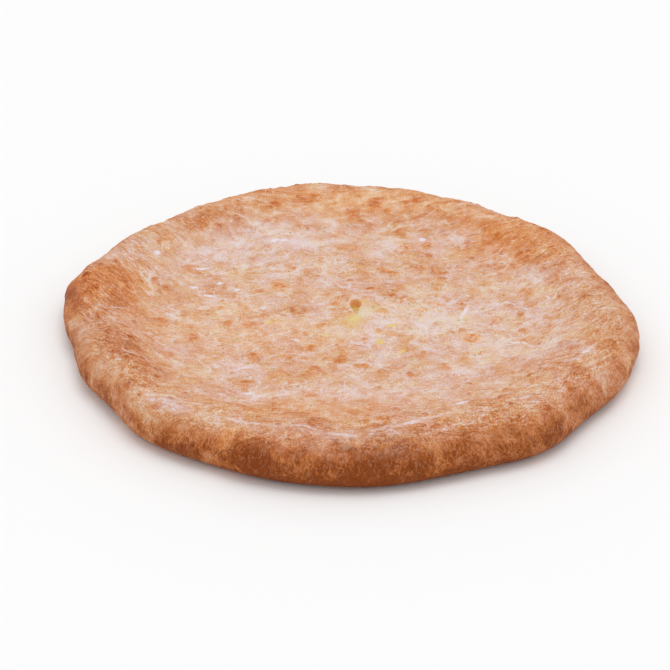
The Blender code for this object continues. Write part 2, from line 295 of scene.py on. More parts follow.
# Butter soaked into the crust round the vent, spots where it shows through thin dough, and where
# the crust is glossy and gets a painted highlight, all as the patches above.
BUTTER_PATCHES = (
    (3, -9, 9, 14, -20, 1.00), (0, -15, 18, 14, 0, 0.40), (8.5, 10, 6, 6, 20, 1.90),
    (13, 4, 16, 12, 30, 0.55),
)
BUTTER_SPOTS = (
    (26, -16, 8, 4, 0, 0.95), (18, -36, 7, 7, 50, 0.80), (-1, 50, 5, 4, 0, 0.80),
    (-14, -28, 5, 4, 0, 0.80),
    (31, -49, 5, 7, -30, 0.70), (33, -8, 5, 3, -20, 0.60), (-48, -12, 6, 4, 0, 0.70),
    (-61, 92, 5, 4, 0, 0.60),
)
GLOSS_AND_HIGHLIGHT_PATCHES = (
    (9, -1, 8, 12, -10, 1.00), (2, -12, 8, 10, -30, 0.30), (-67, -147, 5, 3, 0, 1.00),
)

# -----------------------------------------------------------------------------
# The studio and the camera of the photograph.

PHOTO_SIZE = 670
PIE_PIXEL = (348.9, 324.55)
PIXELS_PER_METRE = 1655.0
CAMERA_DISTANCE = 1.6
CAMERA_ELEVATION = 29.0
AIM_HEIGHT = 12.0 * MM
SENSOR_WIDTH = 36.0
LAMP_ANGLE = 40.0
LAMP_TURN = (-6.0, 6.0, 0.0)
FLOOR_GAP = 0.1 * MM


def length_setting(name, description, size):
    """A setting that holds a length."""
    return bpy.props.FloatProperty(name=name, description=description, default=size, unit="LENGTH")


def colour_setting(name, description, value):
    """A setting that holds a colour."""
    return bpy.props.FloatVectorProperty(
        name=name, description=description, default=value, subtype="COLOR"
    )


class PieCrustSettings(bpy.types.PropertyGroup):
    """Relief and colours of the baked crust."""

    pillow: length_setting(
        "Pillow Height", "Height of the soft pillows of the baked dough", 0.8 * MM
    )
    crease: length_setting(
        "Crease Depth", "Depth of the fine creases between the pillows", 0.2 * MM
    )
    bump: length_setting("Bump Height", "Height of the small browned bumps", 0.6 * MM)
    wrinkle: length_setting("Wrinkle Depth", "Depth of the wrinkles of the rim", 0.4 * MM)
    grain: length_setting("Grain", "Height of the finest grain, in the finish alone", 0.12 * MM)
    flour_colour: colour_setting("Flour", "Colour of the dusted flour", (0.80, 0.69, 0.70))
    cream_colour: colour_setting("Cream", "Colour of the palest dough", (0.78, 0.63, 0.525))
    pale_colour: colour_setting(
        "Pale Dough", "Colour of lightly baked dough", (0.745, 0.515, 0.375)
    )
    tan_colour: colour_setting("Tan", "Colour of evenly baked dough", (0.685, 0.36, 0.187))
    golden_colour: colour_setting(
        "Golden Brown", "Colour of golden brown dough", (0.56, 0.190, 0.056)
    )
    brown_colour: colour_setting("Brown", "Colour of well browned dough", (0.345, 0.086, 0.012))
    dark_colour: colour_setting("Dark", "Colour of nearly burnt dough", (0.245, 0.052, 0.005))
    butter_colour: colour_setting(
        "Butter", "Colour of dough soaked with butter", (0.78, 0.575, 0.19)
    )


class PieFillingSettings(bpy.types.PropertyGroup):
    """The melted filling that shows in the vent."""

    far_depth: length_setting(
        "Far Depth", "Depth of the filling at the far end of the vent", 2.5 * MM
    )
    near_depth: length_setting("Near Depth", "Depth of the filling at the near end", 0.3 * MM)
    colour: colour_setting("Colour", "Colour of the melted filling", (0.54, 0.31, 0.032))


class PieFlourSettings(bpy.types.PropertyGroup):
    """Loose specks of flour on the crust."""

    density: bpy.props.FloatProperty(
        name="Density",
        description="Specks for each square metre where the dusting is thickest",
        default=60000.0,
    )
    smallest: length_setting("Smallest", "Radius of the smallest speck", 0.12 * MM)
    largest: length_setting("Largest", "Radius of the largest speck", 0.36 * MM)


class PieStageSettings(bpy.types.PropertyGroup):
    """Floor and light."""

    floor_size: length_setting("Floor Size", "Width of the pale floor", 12.0)
    sky: bpy.props.FloatProperty(
        name="Sky", description="Strength of the even light from all sides", default=0.84
    )
    lamp: bpy.props.FloatProperty(
        name="Lamp", description="Strength of the soft light from above", default=0.70
    )


# -----------------------------------------------------------------------------
# Form.


def smooth_step(value, low, high):
    """0 below low, 1 above high, and a smooth rise between them."""
    t = np.clip((value - low) / (high - low), 0.0, 1.0)
    return t * t * (3.0 - 2.0 * t)


def lobes(azimuth, table):
    """The sum of bell-shaped lobes round the pie, at azimuths in degrees."""
    total = np.zeros_like(azimuth)
    for middle, half_width, size in table:
        turn = (azimuth - middle + 180.0) % 360.0 - 180.0
        total += size * np.exp(-((turn / half_width) ** 2))
    return total


def dish_height(radius):
    """Height of the blank's top inside the crest: the rim sinks softly to the level of the dish."""
    inwards = (CREST_RADIUS - radius) / SLOPE_WIDTH
    return DISH_HEIGHT + (RIM_HEIGHT - DISH_HEIGHT) * np.exp(-(inwards**2))


def blank_section():
    """(arc length, radius, height) along the blank's half section, from the middle of the top."""
    inner = np.linspace(0.0, CREST_RADIUS, SECTION_STEPS, endpoint=False)
    turn = np.linspace(0.0, np.pi / 2.0, SECTION_STEPS)
    tuck = turn[1:]
    radius = np.concatenate(
        [
            inner,
            CREST_RADIUS + CREST_INSET * np.sin(turn),
            PIE_RADIUS - BASE_TUCK + BASE_TUCK * np.cos(tuck),
        ]
    )
    height = np.concatenate(
        [
            dish_height(inner),
            WIDEST_HEIGHT + (RIM_HEIGHT - WIDEST_HEIGHT) * np.cos(turn),
            WIDEST_HEIGHT * (1.0 - np.sin(tuck)),
        ]
    )
    arc = np.concatenate([[0.0], np.cumsum(np.hypot(np.diff(radius), np.diff(height)))])
    return arc, radius, height


def outline_shift():
    """How far the middle of the uneven outline lies off the blank's axis, in X and Y."""
    turn = np.radians(np.arange(0.0, 360.0, 0.5))
    radius = PIE_RADIUS + lobes(np.degrees(turn), OUTLINE_LOBES) * MM
    edge = np.stack([radius * np.cos(turn), radius * np.sin(turn)])
    return (edge.max(axis=1) + edge.min(axis=1)) / 2.0


def hand_formed(points):
    """Moves the turned blank's points to the uneven outline and rim of a pie formed by hand."""
    x, y, z = points.T
    radius = np.hypot(x, y)
    azimuth = np.degrees(np.arctan2(y, x)) % 360.0
    edge = smooth_step(radius, 0.45 * PIE_RADIUS, PIE_RADIUS)
    from_crest = (radius - CREST_RADIUS) / ROLL_REACH
    near_crest = np.exp(-(from_crest**2)) * smooth_step(z, WIDEST_HEIGHT, RIM_HEIGHT)
    pushed = lobes(azimuth, OUTLINE_LOBES) * edge - lobes(azimuth, RIM_ROLLS) * near_crest
    new_radius = radius + pushed * MM
    rim = smooth_step(radius, CREST_RADIUS - 2.0 * SLOPE_WIDTH, CREST_RADIUS)
    new_z = z + lobes(azimuth, RIM_LIFTS) * MM * rim * z / RIM_HEIGHT
    turn = np.radians(azimuth)
    shift_x, shift_y = outline_shift()
    return np.stack(
        [new_radius * np.cos(turn) - shift_x, new_radius * np.sin(turn) - shift_y, new_z], axis=1
    )


def beside_line(x, y, stations):
    """(distance to a line, its side as the sign; how far along it, from 0 to 1) at points."""
    corners = np.array(stations) * MM
    best = np.full_like(x, np.inf)
    along = np.zeros_like(x)
    for i, (start, end) in enumerate(zip(corners[:-1], corners[1:])):
        step = end - start
        away_x, away_y = x - start[0], y - start[1]
        t = np.clip((away_x * step[0] + away_y * step[1]) / (step @ step), 0.0, 1.0)
        distance = np.hypot(away_x - t * step[0], away_y - t * step[1])
        nearer = distance < np.abs(best)
        best = np.where(nearer, np.copysign(distance, step[0] * away_y - step[1] * away_x), best)
        along = np.where(nearer, (i + t) / (len(corners) - 1), along)
    return best, along


def fold_depth(x, y, stations, half_width, depth):
    """How deep a fold is pressed in at points of the top: it fades out towards both of its ends."""
    distance, along = beside_line(x, y, stations)
    fade = np.sin(np.pi * np.clip(along, 0.04, 0.96))
    return depth * fade * np.exp(-((distance / half_width) ** 2))


def swell_height(point):
    """The slow unevenness of the dough at one point."""
    total = 0.0
    for wavelength, height, start in SWELLS:
        field_start = Vector((start, -start, 0.5 * start))
        total += height * noise.noise(Vector(point) / wavelength + field_start)
    return total


def relief(points):
    """How far each point of the surface stands out of, or under, the smooth crust."""
    x, y, z = points.T
    top = smooth_step(z, 0.6 * RIM_HEIGHT, 0.72 * RIM_HEIGHT)
    share = SIDE_SWELL + (1.0 - SIDE_SWELL) * top
    height = np.array([swell_height(point) for point in points]) * share
    for blister in BLISTERS:
        middle_x, middle_y, length, width, rise = (value * MM for value in blister)
        away = np.hypot((x - middle_x) / length * 2.0, (y - middle_y) / width * 2.0)
        height += top * rise * (1.0 - smooth_step(away, 0.0, 1.15))
    for stations, half_width, depth in FOLDS:
        height -= top * fold_depth(x, y, stations, half_width * MM, depth * MM)
    return height * smooth_step(z, 0.0, WIDEST_HEIGHT)


def vent_distance(x, y):
    """How far points of the top lie from the middle of the vent: 1 is the edge of its drop shape."""
    along = y - VENT_PLACE[1]
    narrow = 1.0 - VENT_NARROWING * smooth_step(-along, -0.2 * VENT_HALF_LENGTH, VENT_HALF_LENGTH)
    length = np.where(along < 0.0, VENT_TAIL, 1.0) * VENT_HALF_LENGTH
    return np.hypot((x - VENT_PLACE[0]) / (VENT_HALF_WIDTH * narrow), along / length)


# -----------------------------------------------------------------------------
# Grids.


def ring_start(ring):
    """The number of the first point of a ring, where ring 0 is the point in the middle."""
    return 0 if ring == 0 else 1 + 3 * ring * (ring - 1)


def disc_points(rings):
    """(ring, turn) of each point of a disc grid: ring k has 6 k points."""
    ring = np.concatenate([[0]] + [np.full(6 * k, k) for k in range(1, rings + 1)])
    turn = np.concatenate(
        [[0.0]] + [2.0 * np.pi * np.arange(6 * k) / (6 * k) for k in range(1, rings + 1)]
    )
    return ring, turn


def disc_faces(rings):
    """The triangles of a disc grid, facing up."""
    faces = []
    for k in range(rings):
        inner, outer = ring_start(k), ring_start(k + 1)
        inner_count, outer_count = max(6 * k, 1), 6 * (k + 1)
        for sixth in range(6):
            step = np.arange(k + 1)
            far = outer + (sixth * (k + 1) + step) % outer_count
            next_far = outer + (sixth * (k + 1) + step + 1) % outer_count
            near = inner + (sixth * k + step) % inner_count
            faces.append(np.stack([near, far, next_far], axis=1))
            next_near = inner + (sixth * k + step + 1) % inner_count
            faces.append(np.stack([near, next_far, next_near], axis=1)[:k])
    return np.concatenate(faces)


def zipped(outer_start, outer_count, inner_start, inner_count):
    """Triangles between two rings; the outer one has a whole number of points for each inner one."""
    share = outer_count // inner_count
    faces = []
    for i in range(inner_count):
        near, next_near = inner_start + i, inner_start + (i + 1) % inner_count
        for j in range(share):
            far = outer_start + (i * share + j) % outer_count
            faces.append((near, far, outer_start + (i * share + j + 1) % outer_count))
        faces.append((near, outer_start + (i + 1) * share % outer_count, next_near))
    return np.array(faces)


def mesh_of(name, points, faces):
    """A smooth mesh of triangles."""
    mesh = bpy.data.meshes.new(name)
    mesh.from_pydata([], [], [])
    mesh.vertices.add(len(points))
    mesh.vertices.foreach_set("co", np.ascontiguousarray(points, np.float32).ravel())
    mesh.loops.add(3 * len(faces))
    mesh.loops.foreach_set("vertex_index", np.ascontiguousarray(faces, np.int32).ravel())
    mesh.polygons.add(len(faces))
    mesh.polygons.foreach_set("loop_start", np.arange(0, 3 * len(faces), 3, dtype=np.int32))
    mesh.update(calc_edges=True)
    mesh.validate()
    mesh.shade_smooth()
    return mesh


def normals_of(mesh):
    """The normal of each point of a mesh."""
    normals = np.empty(3 * len(mesh.vertices), np.float32)
    mesh.vertices.foreach_get("normal", normals)
    return normals.reshape(-1, 3)


def move_points(mesh, points):
    """Sets the place of each point of a mesh."""
    mesh.vertices.foreach_set("co", np.ascontiguousarray(points, np.float32).ravel())
    mesh.update()


def store(mesh, name, values):
    """Keeps one number, or three, for each point of a mesh."""
    kind = "FLOAT" if values.ndim == 1 else "FLOAT_VECTOR"
    field = "value" if values.ndim == 1 else "vector"
    attribute = mesh.attributes.new(name, kind, "POINT")
    attribute.data.foreach_set(field, np.ascontiguousarray(values, np.float32).ravel())


def drawn_to_vent(x, y):
    """Draws points of the flat grid together round the vent, so that its wall gets enough."""
    shift_x, shift_y = outline_shift()
    away_x, away_y = x - VENT_PLACE[0] - shift_x, y - VENT_PLACE[1] - shift_y
    share = VENT_CLOSENESS + (1.0 - VENT_CLOSENESS) * smooth_step(
        np.hypot(away_x, away_y), 0.0, VENT_REACH
    )
    return x + away_x * (share - 1.0), y + away_y * (share - 1.0)


def crust_grid():
    """(points, arc length of each, faces) of the closed blank: its top and side, then its base."""
    arc, radius, height = blank_section()
    ring, turn = disc_points(TOP_GRID_RINGS)
    along = arc[-1] * np.minimum(ring / (TOP_GRID_RINGS - UNDERSIDE_RINGS), 1.0)
    x, y = drawn_to_vent(along * np.cos(turn), along * np.sin(turn))
    along, turn = np.hypot(x, y), np.arctan2(y, x)
    spacing = arc[-1] / (TOP_GRID_RINGS - UNDERSIDE_RINGS)
    under = np.maximum(ring - (TOP_GRID_RINGS - UNDERSIDE_RINGS), 0) * spacing
    out = np.interp(along, arc, radius) - under
    top = np.stack([out * np.cos(turn), out * np.sin(turn), np.interp(along, arc, height)], axis=1)
    base_ring, base_turn = disc_points(BASE_GRID_RINGS)
    rim_out = out[-1] - 2.0 * spacing
    base_out = rim_out * base_ring / BASE_GRID_RINGS
    base = np.stack(
        [base_out * np.cos(base_turn), base_out * np.sin(base_turn), np.zeros_like(base_out)],
        axis=1,
    )
    start = len(top)
    faces = [
        disc_faces(TOP_GRID_RINGS),
        disc_faces(BASE_GRID_RINGS)[:, ::-1] + start,
        zipped(
            ring_start(TOP_GRID_RINGS),
            6 * TOP_GRID_RINGS,
            start + ring_start(BASE_GRID_RINGS),
            6 * BASE_GRID_RINGS,
        )[:, ::-1],
    ]
    lengths = np.concatenate([along + under, arc[-1] + rim_out - base_out])
    return np.concatenate([top, base]), lengths, np.concatenate(faces)


# -----------------------------------------------------------------------------
# Where the crust is browned, floured and buttered.


def patches(x, y, table):
    """The sum of soft oval patches at points of the top, with their places and sizes in mm."""
    total = np.zeros_like(x)
    for middle_x, middle_y, length, width, turn, strength in table:
        cos, sin = np.cos(np.radians(turn)), np.sin(np.radians(turn))
        away_x, away_y = x / MM - middle_x, y / MM - middle_y
        along = (away_x * cos + away_y * sin) / (0.5 * length)
        across = (away_y * cos - away_x * sin) / (0.5 * width)
        total += strength * np.exp(-(along**2) - across**2)
    return total


def browned_spots(x, y):
    """The browned spots at points of the top: flat in the middle and soft at the edge."""
    total = np.zeros_like(x)
    for middle_x, middle_y, size, strength in BROWN_SPOTS:
        away = np.hypot(x / MM - middle_x, y / MM - middle_y) / (0.5 * size)
        total += strength * (1.0 - smooth_step(away, 0.5, 1.1))
    return total


def streak_facts(x, y):
    """(half widths that points lie beside the nearest streak of flour, its strength)."""
    side = np.full_like(x, STREAK_REACH)
    strength = np.zeros_like(x)
    for stations, half_width, share in FLOUR_STREAKS:
        distance, along = beside_line(x, y, stations)
        away = np.clip(distance / (half_width * MM), -STREAK_REACH, STREAK_REACH)
        here = share * np.sin(np.pi * np.clip(along, 0.06, 0.94)) ** 0.5
        nearer = np.abs(away) < np.abs(side)
        side = np.where(nearer, away, side)
        strength = np.where(nearer, here, strength)
    return side, strength * (1.0 - smooth_step(np.abs(side), 0.6 * STREAK_REACH, STREAK_REACH))


def flow_place(x, y, z):
    """Places of the top, bent so that a level pattern runs along the bands of the dough."""
    beside = x - TILT_PLACE[0]
    tilt = FLOW_TILT * beside * np.exp(-(beside**2 + (y - TILT_PLACE[1]) ** 2) / TILT_REACH**2)
    across = y - FLOW_BEND * x**2 - FLOW_TURN * x**4 - FLOW_FAN * x**2 * y - tilt
    return np.stack([x, across, z], axis=1)


def around_place(out, azimuth, arc, section_arc, base_edge):
    """Places wound round the side. On the base the pattern runs on flat, and isn't drawn together."""
    turned_out = PIE_RADIUS * np.where(arc > section_arc[-1], out / base_edge, 1.0)
    wound = np.minimum(arc, section_arc[-1])
    return np.stack([turned_out * np.cos(azimuth), turned_out * np.sin(azimuth), wound], axis=1)


def surface_facts(mesh, blank, arc, points):
    """Stores what the finish and the relief read at each point: place, baking with painted shade and
    light, flour, butter.
    """
    x, y, z = points.T
    out = np.hypot(blank[:, 0], blank[:, 1])
    azimuth = np.arctan2(blank[:, 1], blank[:, 0])
    section_arc, section_radius, _ = blank_section()
    to_crest = slice(0, SECTION_STEPS + 1)
    crest_arc = np.interp(CREST_RADIUS, section_radius[to_crest], section_arc[to_crest])
    down = np.clip((arc - crest_arc) / (section_arc[-1] - crest_arc), 0.0, 1.0)
    rim = smooth_step(out, CREST_RADIUS - 1.5 * SLOPE_WIDTH, CREST_RADIUS)
    top = 1.0 - smooth_step(down, 0.1, 0.6)
    below = smooth_step(arc, section_arc[-1] - 4.0 * MM, section_arc[-1] + 2.0 * MM)
    # Darker towards the side's base: partly real browning, partly painted shade.
    bake_and_shade = DISH_BAKE + RIM_BAKE * rim + SIDE_BAKE_AND_SHADE * smooth_step(down, 0.1, 0.9)
    # Painted shade on the front side and painted light on the paler left and right outline, by
    # azimuth.
    bake_and_shade += lobes(np.degrees(azimuth) % 360.0, SIDE_BROWNING_SHADE_AND_LIGHT) * smooth_step(down, 0.0, 0.55)
    # Patches of real browning, with painted shade and painted light on some slopes.
    bake_and_shade += patches(x, y, BAKE_AND_SHADE_PATCHES)
    vent = np.maximum(vent_distance(x, y), FAR_FROM_VENT * below)
    # Brown streaks: partly real browning, partly painted shade below folds.
    creases = sum(
        fold_depth(x, y, line, half_width * MM, share) for line, half_width, share in BROWN_AND_SHADE_STREAKS
    )
    side, strength = streak_facts(x, y)
    dusted = np.clip(patches(x, y, FLOUR_PATCHES), 0.0, 1.0)
    facts = {
        "rest": points,
        "flow": flow_place(x, y, z),
        "around": around_place(out, azimuth, arc, section_arc, section_radius[-1]),
        "bake_and_shade": bake_and_shade * (1.0 - below) + UNDER_BAKE * below,
        # The spots also hold the brown streaks, which are partly painted shade below folds.
        "spots": top * (browned_spots(x, y) + creases),
        "orange": np.clip(patches(x, y, ORANGE_PATCHES), -1.0, 1.0) * (1.0 - below),
        "rim": rim,
        "down": down,
        "below": below,
        "flour": dusted * (1.0 - smooth_step(down, 0.15, 0.5)),
        "flecks": np.clip(top * patches(x, y, FLOUR_FLECKS), 0.0, 1.0),
        "streak_side": side,
        "streaks": top * strength,
        "butter": np.clip(top * patches(x, y, BUTTER_PATCHES), 0.0, 1.0),
        "butter_spots": np.clip(top * patches(x, y, BUTTER_SPOTS), 0.0, 1.0),
        "gloss_and_highlight": np.clip(patches(x, y, GLOSS_AND_HIGHLIGHT_PATCHES), 0.0, 1.0),
        "vent": np.minimum(vent, FAR_FROM_VENT),
        "lift": smooth_step(z, 0.0, WIDEST_HEIGHT) * smooth_step(vent, 1.0, 1.7) * (1.0 - below),
    }
    for name, values in facts.items():
        store(mesh, name, values)


# -----------------------------------------------------------------------------
# Node trees. The same calls serve materials and geometry.


class Web:
    """Adds nodes to one tree and links them."""

    def __init__(self, tree):
        self.tree = tree
        self.shading = tree.bl_idname == "ShaderNodeTree"

    def put(self, socket, value):
        """Links a socket, or sets its value."""
        if isinstance(value, bpy.types.NodeSocket):
            self.tree.links.new(value, socket)
        else:
            socket.default_value = value

    def node(self, kind, inputs=(), **settings):
        """A node with its settings and inputs, which are named or numbered."""
        made = self.tree.nodes.new(kind)
        for name, value in settings.items():
            setattr(made, name, value)
        for name, value in dict(inputs).items():
            self.put(made.inputs[name], value)
        return made

    def math(self, operation, *values, clamp=False):
        """The result of a Math node."""
        return self.node(
            "ShaderNodeMath", enumerate(values), operation=operation, use_clamp=clamp
        ).outputs[0]

    def add(self, *values):
        """The sum of several values."""
        total = values[0]
        for value in values[1:]:
            total = self.math("ADD", total, value)
        return total

    def times(self, *values):
        """The product of several values."""
        total = values[0]
        for value in values[1:]:
            total = self.math("MULTIPLY", total, value)
        return total

    def most(self, *values, clamp=False):
        """The larger of two values."""
        return self.math("MAXIMUM", *values, clamp=clamp)

    def line(self, value, slope, start):
        """A value times a slope, plus where it starts."""
        return self.math("MULTIPLY_ADD", value, slope, start)

    def step(self, value, low, high, first=0.0, last=1.0):
        """A smooth change from first at low to last at high."""
        inputs = {"Value": value, "From Min": low, "From Max": high}
        inputs.update({"To Min": first, "To Max": last})
        return self.node("ShaderNodeMapRange", inputs, interpolation_type="SMOOTHSTEP").outputs[0]

    def fall(self, value, low, high):
        """A smooth change from 1 at low to 0 at high."""
        return self.step(value, low, high, 1.0, 0.0)

    def grown_by(self, vector, factor):
        """A vector times one number."""
        inputs = {0: vector, "Scale": factor}
        return self.node("ShaderNodeVectorMath", inputs, operation="SCALE").outputs[0]

    def scaled(self, place, scale, offset=(0.0, 0.0, 0.0)):
        """A vector times a scale for each axis, and moved."""
        return self.node(
            "ShaderNodeVectorMath", {0: place, 1: scale, 2: offset}, operation="MULTIPLY_ADD"
        ).outputs[0]

    def field(self, name, kind="FLOAT"):
        """What the mesh stores under a name."""
        if self.shading:
            made = self.node("ShaderNodeAttribute", attribute_name=name)
            return made.outputs["Fac" if kind == "FLOAT" else "Vector"]
        return self.node(
            "GeometryNodeInputNamedAttribute", {"Name": name}, data_type=kind
        ).outputs["Attribute"]

    def waves(
        self, place, length, start, detail=2.0, roughness=0.5, warp=0.0, stretch=(1.0, 1.0, 1.0)
    ):
        """Smooth noise about 0, as long as length from crest to crest; start shifts it along."""
        scale = tuple(1.0 / (length * share) for share in stretch)
        moved = self.scaled(place, scale, (start, -0.7 * start, 0.3 * start))
        inputs = {
            "Vector": moved,
            "Scale": 1.0,
            "Detail": detail,
            "Roughness": roughness,
            "Distortion": warp,
        }
        return self.math("SUBTRACT", self.node("ShaderNodeTexNoise", inputs).outputs[0], 0.5)

    def speckle(self, place, length, start, amount):
        """A colour near white that changes in each channel by itself, by the amount for each one."""
        moved = self.scaled(
            place, (1.0 / length, 0.65 / length, 1.0 / length), (start, start, start)
        )
        made = self.node("ShaderNodeTexNoise", {"Vector": moved, "Scale": 1.0, "Detail": 1.0})
        return self.scaled(
            made.outputs["Color"], amount, tuple(1.0 - 0.5 * share for share in amount)
        )

    def cells(self, place, size, stretch=(1.0, 1.0)):
        """(distance from the middle of the nearest flat cell, two random numbers of that cell)."""
        moved = self.scaled(place, (1.0 / (size * stretch[0]), 1.0 / (size * stretch[1]), 1.0))
        inputs = {"Vector": moved, "Scale": 1.0, "Randomness": 1.0}
        made = self.node("ShaderNodeTexVoronoi", inputs, voronoi_dimensions="2D")
        split = self.node("ShaderNodeSeparateXYZ", {0: made.outputs["Color"]})
        return made.outputs["Distance"], split.outputs[0], split.outputs[1]

    def wandering(self, place, length, start, reach):
        """A place moved about by noise as far as reach."""
        moved = self.scaled(place, (1.0 / length,) * 3, (start, -0.7 * start, 0.3 * start))
        made = self.node("ShaderNodeTexNoise", {"Vector": moved, "Scale": 1.0, "Detail": 2.0})
        offset = self.scaled(made.outputs["Color"], (2.0 * reach,) * 3, (-reach,) * 3)
        return self.node("ShaderNodeVectorMath", {0: place, 1: offset}, operation="ADD").outputs[0]

    def mix(self, share, first, second, blend="MIX"):
        """Two colours mixed."""
        made = self.node(
            "ShaderNodeMix", {0: share, 6: first, 7: second}, data_type="RGBA", blend_type=blend
        )
        return made.outputs[2]


def dough_blotches(web, flow):
    """(broad, middle) blotches of the dough: they stand out and are browner."""
    broad = web.waves(flow, 22.0 * MM, 3.1, warp=0.4)
    middle = web.waves(flow, 9.0 * MM, 7.7, warp=0.3, stretch=(1.2, 1.0, 1.0))
    return broad, middle


def dough_bumps(web, rest, size, edge, start, share):
    """(bumps, how brown each one is): browned bumps scattered over the top, both from 0 to 1."""
    bent = web.wandering(rest, 0.6 * size, start, 0.2 * size)
    moved = web.scaled(bent, (1.0, 1.0, 1.0), (start, start, 0.0))
    away, chance, wide = web.cells(moved, size, stretch=(0.95, 1.2))
    radius = web.line(wide, 0.26, 0.12)
    shape = web.fall(away, web.times(radius, edge), radius)
    kept = web.times(shape, web.step(chance, 1.0 - share, 1.04 - share))
    return kept, web.step(chance, 1.0 - share, 1.0)


def dough_strokes(web, flow, rim):
    """(fine, long) pale strokes that run with the dough, denser on the rim, from 0 to 1."""
    bent = web.wandering(flow, 13.0 * MM, 5.3, 5.0 * MM)
    fine = web.waves(bent, 1.7 * MM, 17.9, detail=1.5, warp=0.7, stretch=(2.2, 1.1, 1.0))
    long = web.waves(bent, 2.2 * MM, 21.5, roughness=0.6, warp=0.8, stretch=(4.0, 1.0, 1.0))
    eased = web.times(rim, 0.03)
    fine = web.step(web.add(fine, eased), 0.08, 0.18)
    long = web.step(web.add(long, eased), 0.11, 0.18)
    return fine, long


def pale_islands(web, rest):
    """Soft pale patches of the dough, from 0 to 1."""
    wave = web.waves(rest, 6.5 * MM, 13.7, warp=0.3)
    return web.step(wave, 0.02, 0.17)


def dough_creases(web, flow, length, start):
    """(pale lines, painted shade on one side of them), from 0 to 1: thin curved creases between the
    pillows.
    """
    bent = web.wandering(flow, 11.0 * MM, start, 3.5 * MM)
    level = web.waves(bent, length, start, detail=0.5, stretch=(1.6, 0.95, 1.0))
    here = web.step(web.waves(flow, 1.5 * length, start + 5.0, detail=1.0), 0.0, 0.10)
    line = web.fall(web.math("ABSOLUTE", level), 0.002, 0.030)
    # Painted shade: a browner band along one side of each pale line.
    beside = web.times(web.step(level, 0.02, 0.06), web.fall(level, 0.07, 0.17))
    return web.times(line, here), web.times(beside, here)


def rim_wrinkles(web, around, flow):
    """Wrinkles that run along the rim, about 0."""
    along = web.waves(around, 3.0 * MM, 41.0, roughness=0.6, warp=0.5, stretch=(4.0, 4.0, 1.0))
    bands = web.waves(flow, 2.7 * MM, 47.0, roughness=0.6, warp=0.6, stretch=(4.5, 1.0, 1.0))
    return web.add(web.times(along, 0.35), web.times(bands, 1.2))


def side_strands(web, around):
    """(mottling of the side, fine fibres that curl over it), about 0."""
    coarse = web.waves(around, 17.0 * MM, 53.0, detail=3.0, warp=0.8, stretch=(1.0, 1.0, 0.9))
    bent = web.wandering(around, 4.0 * MM, 57.0, 2.4 * MM)
    fibres = web.waves(bent, 1.5 * MM, 59.0, detail=1.5, roughness=0.6, stretch=(0.8, 0.8, 2.4))
    return coarse, fibres


def named_tree(name, inputs):
    """(web, input node) of an empty geometry tree with inputs given as (name, socket type)."""
    tree = bpy.data.node_groups.new(name, "GeometryNodeTree")
    tree.interface.new_socket("Geometry", in_out="INPUT", socket_type="NodeSocketGeometry")
    for label, kind in inputs:
        tree.interface.new_socket(label, in_out="INPUT", socket_type=kind)
    tree.interface.new_socket("Geometry", in_out="OUTPUT", socket_type="NodeSocketGeometry")
    web = Web(tree)
    return web, web.node("NodeGroupInput")


def close_tree(web, geometry, material):
    """Ends a geometry tree in Realize Instances and Set Material."""
    realized = web.node("GeometryNodeRealizeInstances", {"Geometry": geometry})
    finished = web.node(
        "GeometryNodeSetMaterial", {"Geometry": realized.outputs[0], "Material": material}
    )
    web.node("NodeGroupOutput", {"Geometry": finished.outputs[0]})


def relief_tree():
    """The low relief of the baked dough, put on along the normals."""
    labels = ("Pillow Height", "Crease Depth", "Bump Height", "Wrinkle Depth")
    floats = [(label, "NodeSocketFloat") for label in labels]
    web, given = named_tree("crust relief", floats + [("Material", "NodeSocketMaterial")])
    flow = web.field("flow", "FLOAT_VECTOR")
    around = web.field("around", "FLOAT_VECTOR")
    rim, down = web.field("rim"), web.field("down")
    side = web.step(down, 0.15, 0.5)
    broad, middle = dough_blotches(web, flow)
    pillows = web.times(
        web.add(web.times(broad, 2.0), web.times(middle, 2.4)), given.outputs["Pillow Height"]
    )
    _, long = dough_strokes(web, flow, rim)
    rest = web.field("rest", "FLOAT_VECTOR")
    narrow, _ = dough_creases(web, flow, *NARROW_CREASES)
    wide, _ = dough_creases(web, flow, *WIDE_CREASES)
    creases = web.times(
        web.add(long, web.times(web.most(narrow, wide), 1.5)), given.outputs["Crease Depth"]
    )
    bumps, _ = dough_bumps(web, rest, *SMALL_BUMPS)
    wide_bumps, _ = dough_bumps(web, rest, *WIDE_BUMPS)
    raised = web.add(bumps, web.times(wide_bumps, 0.8), web.times(web.field("spots"), 2.4))
    bumps = web.times(raised, given.outputs["Bump Height"])
    wrinkles = web.times(rim_wrinkles(web, around, flow), given.outputs["Wrinkle Depth"], 3.0)
    wrinkles = web.times(wrinkles, web.step(rim, 0.1, 0.9), web.step(side, 0.0, 1.0, 1.0, 0.35))
    coarse, fine = side_strands(web, around)
    strands = web.times(web.add(web.times(coarse, 4.5), fine), given.outputs["Wrinkle Depth"], side)
    top_parts = web.times(web.add(pillows, creases, bumps), web.step(side, 0.0, 1.0, 1.0, 0.3))
    height = web.times(web.add(top_parts, wrinkles, strands), web.field("lift"))
    offset = web.grown_by(web.node("GeometryNodeInputNormal").outputs[0], height)
    moved = web.node(
        "GeometryNodeSetPosition", {"Geometry": given.outputs["Geometry"], "Offset": offset}
    )
    close_tree(web, moved.outputs[0], given.outputs["Material"])
    return web.tree


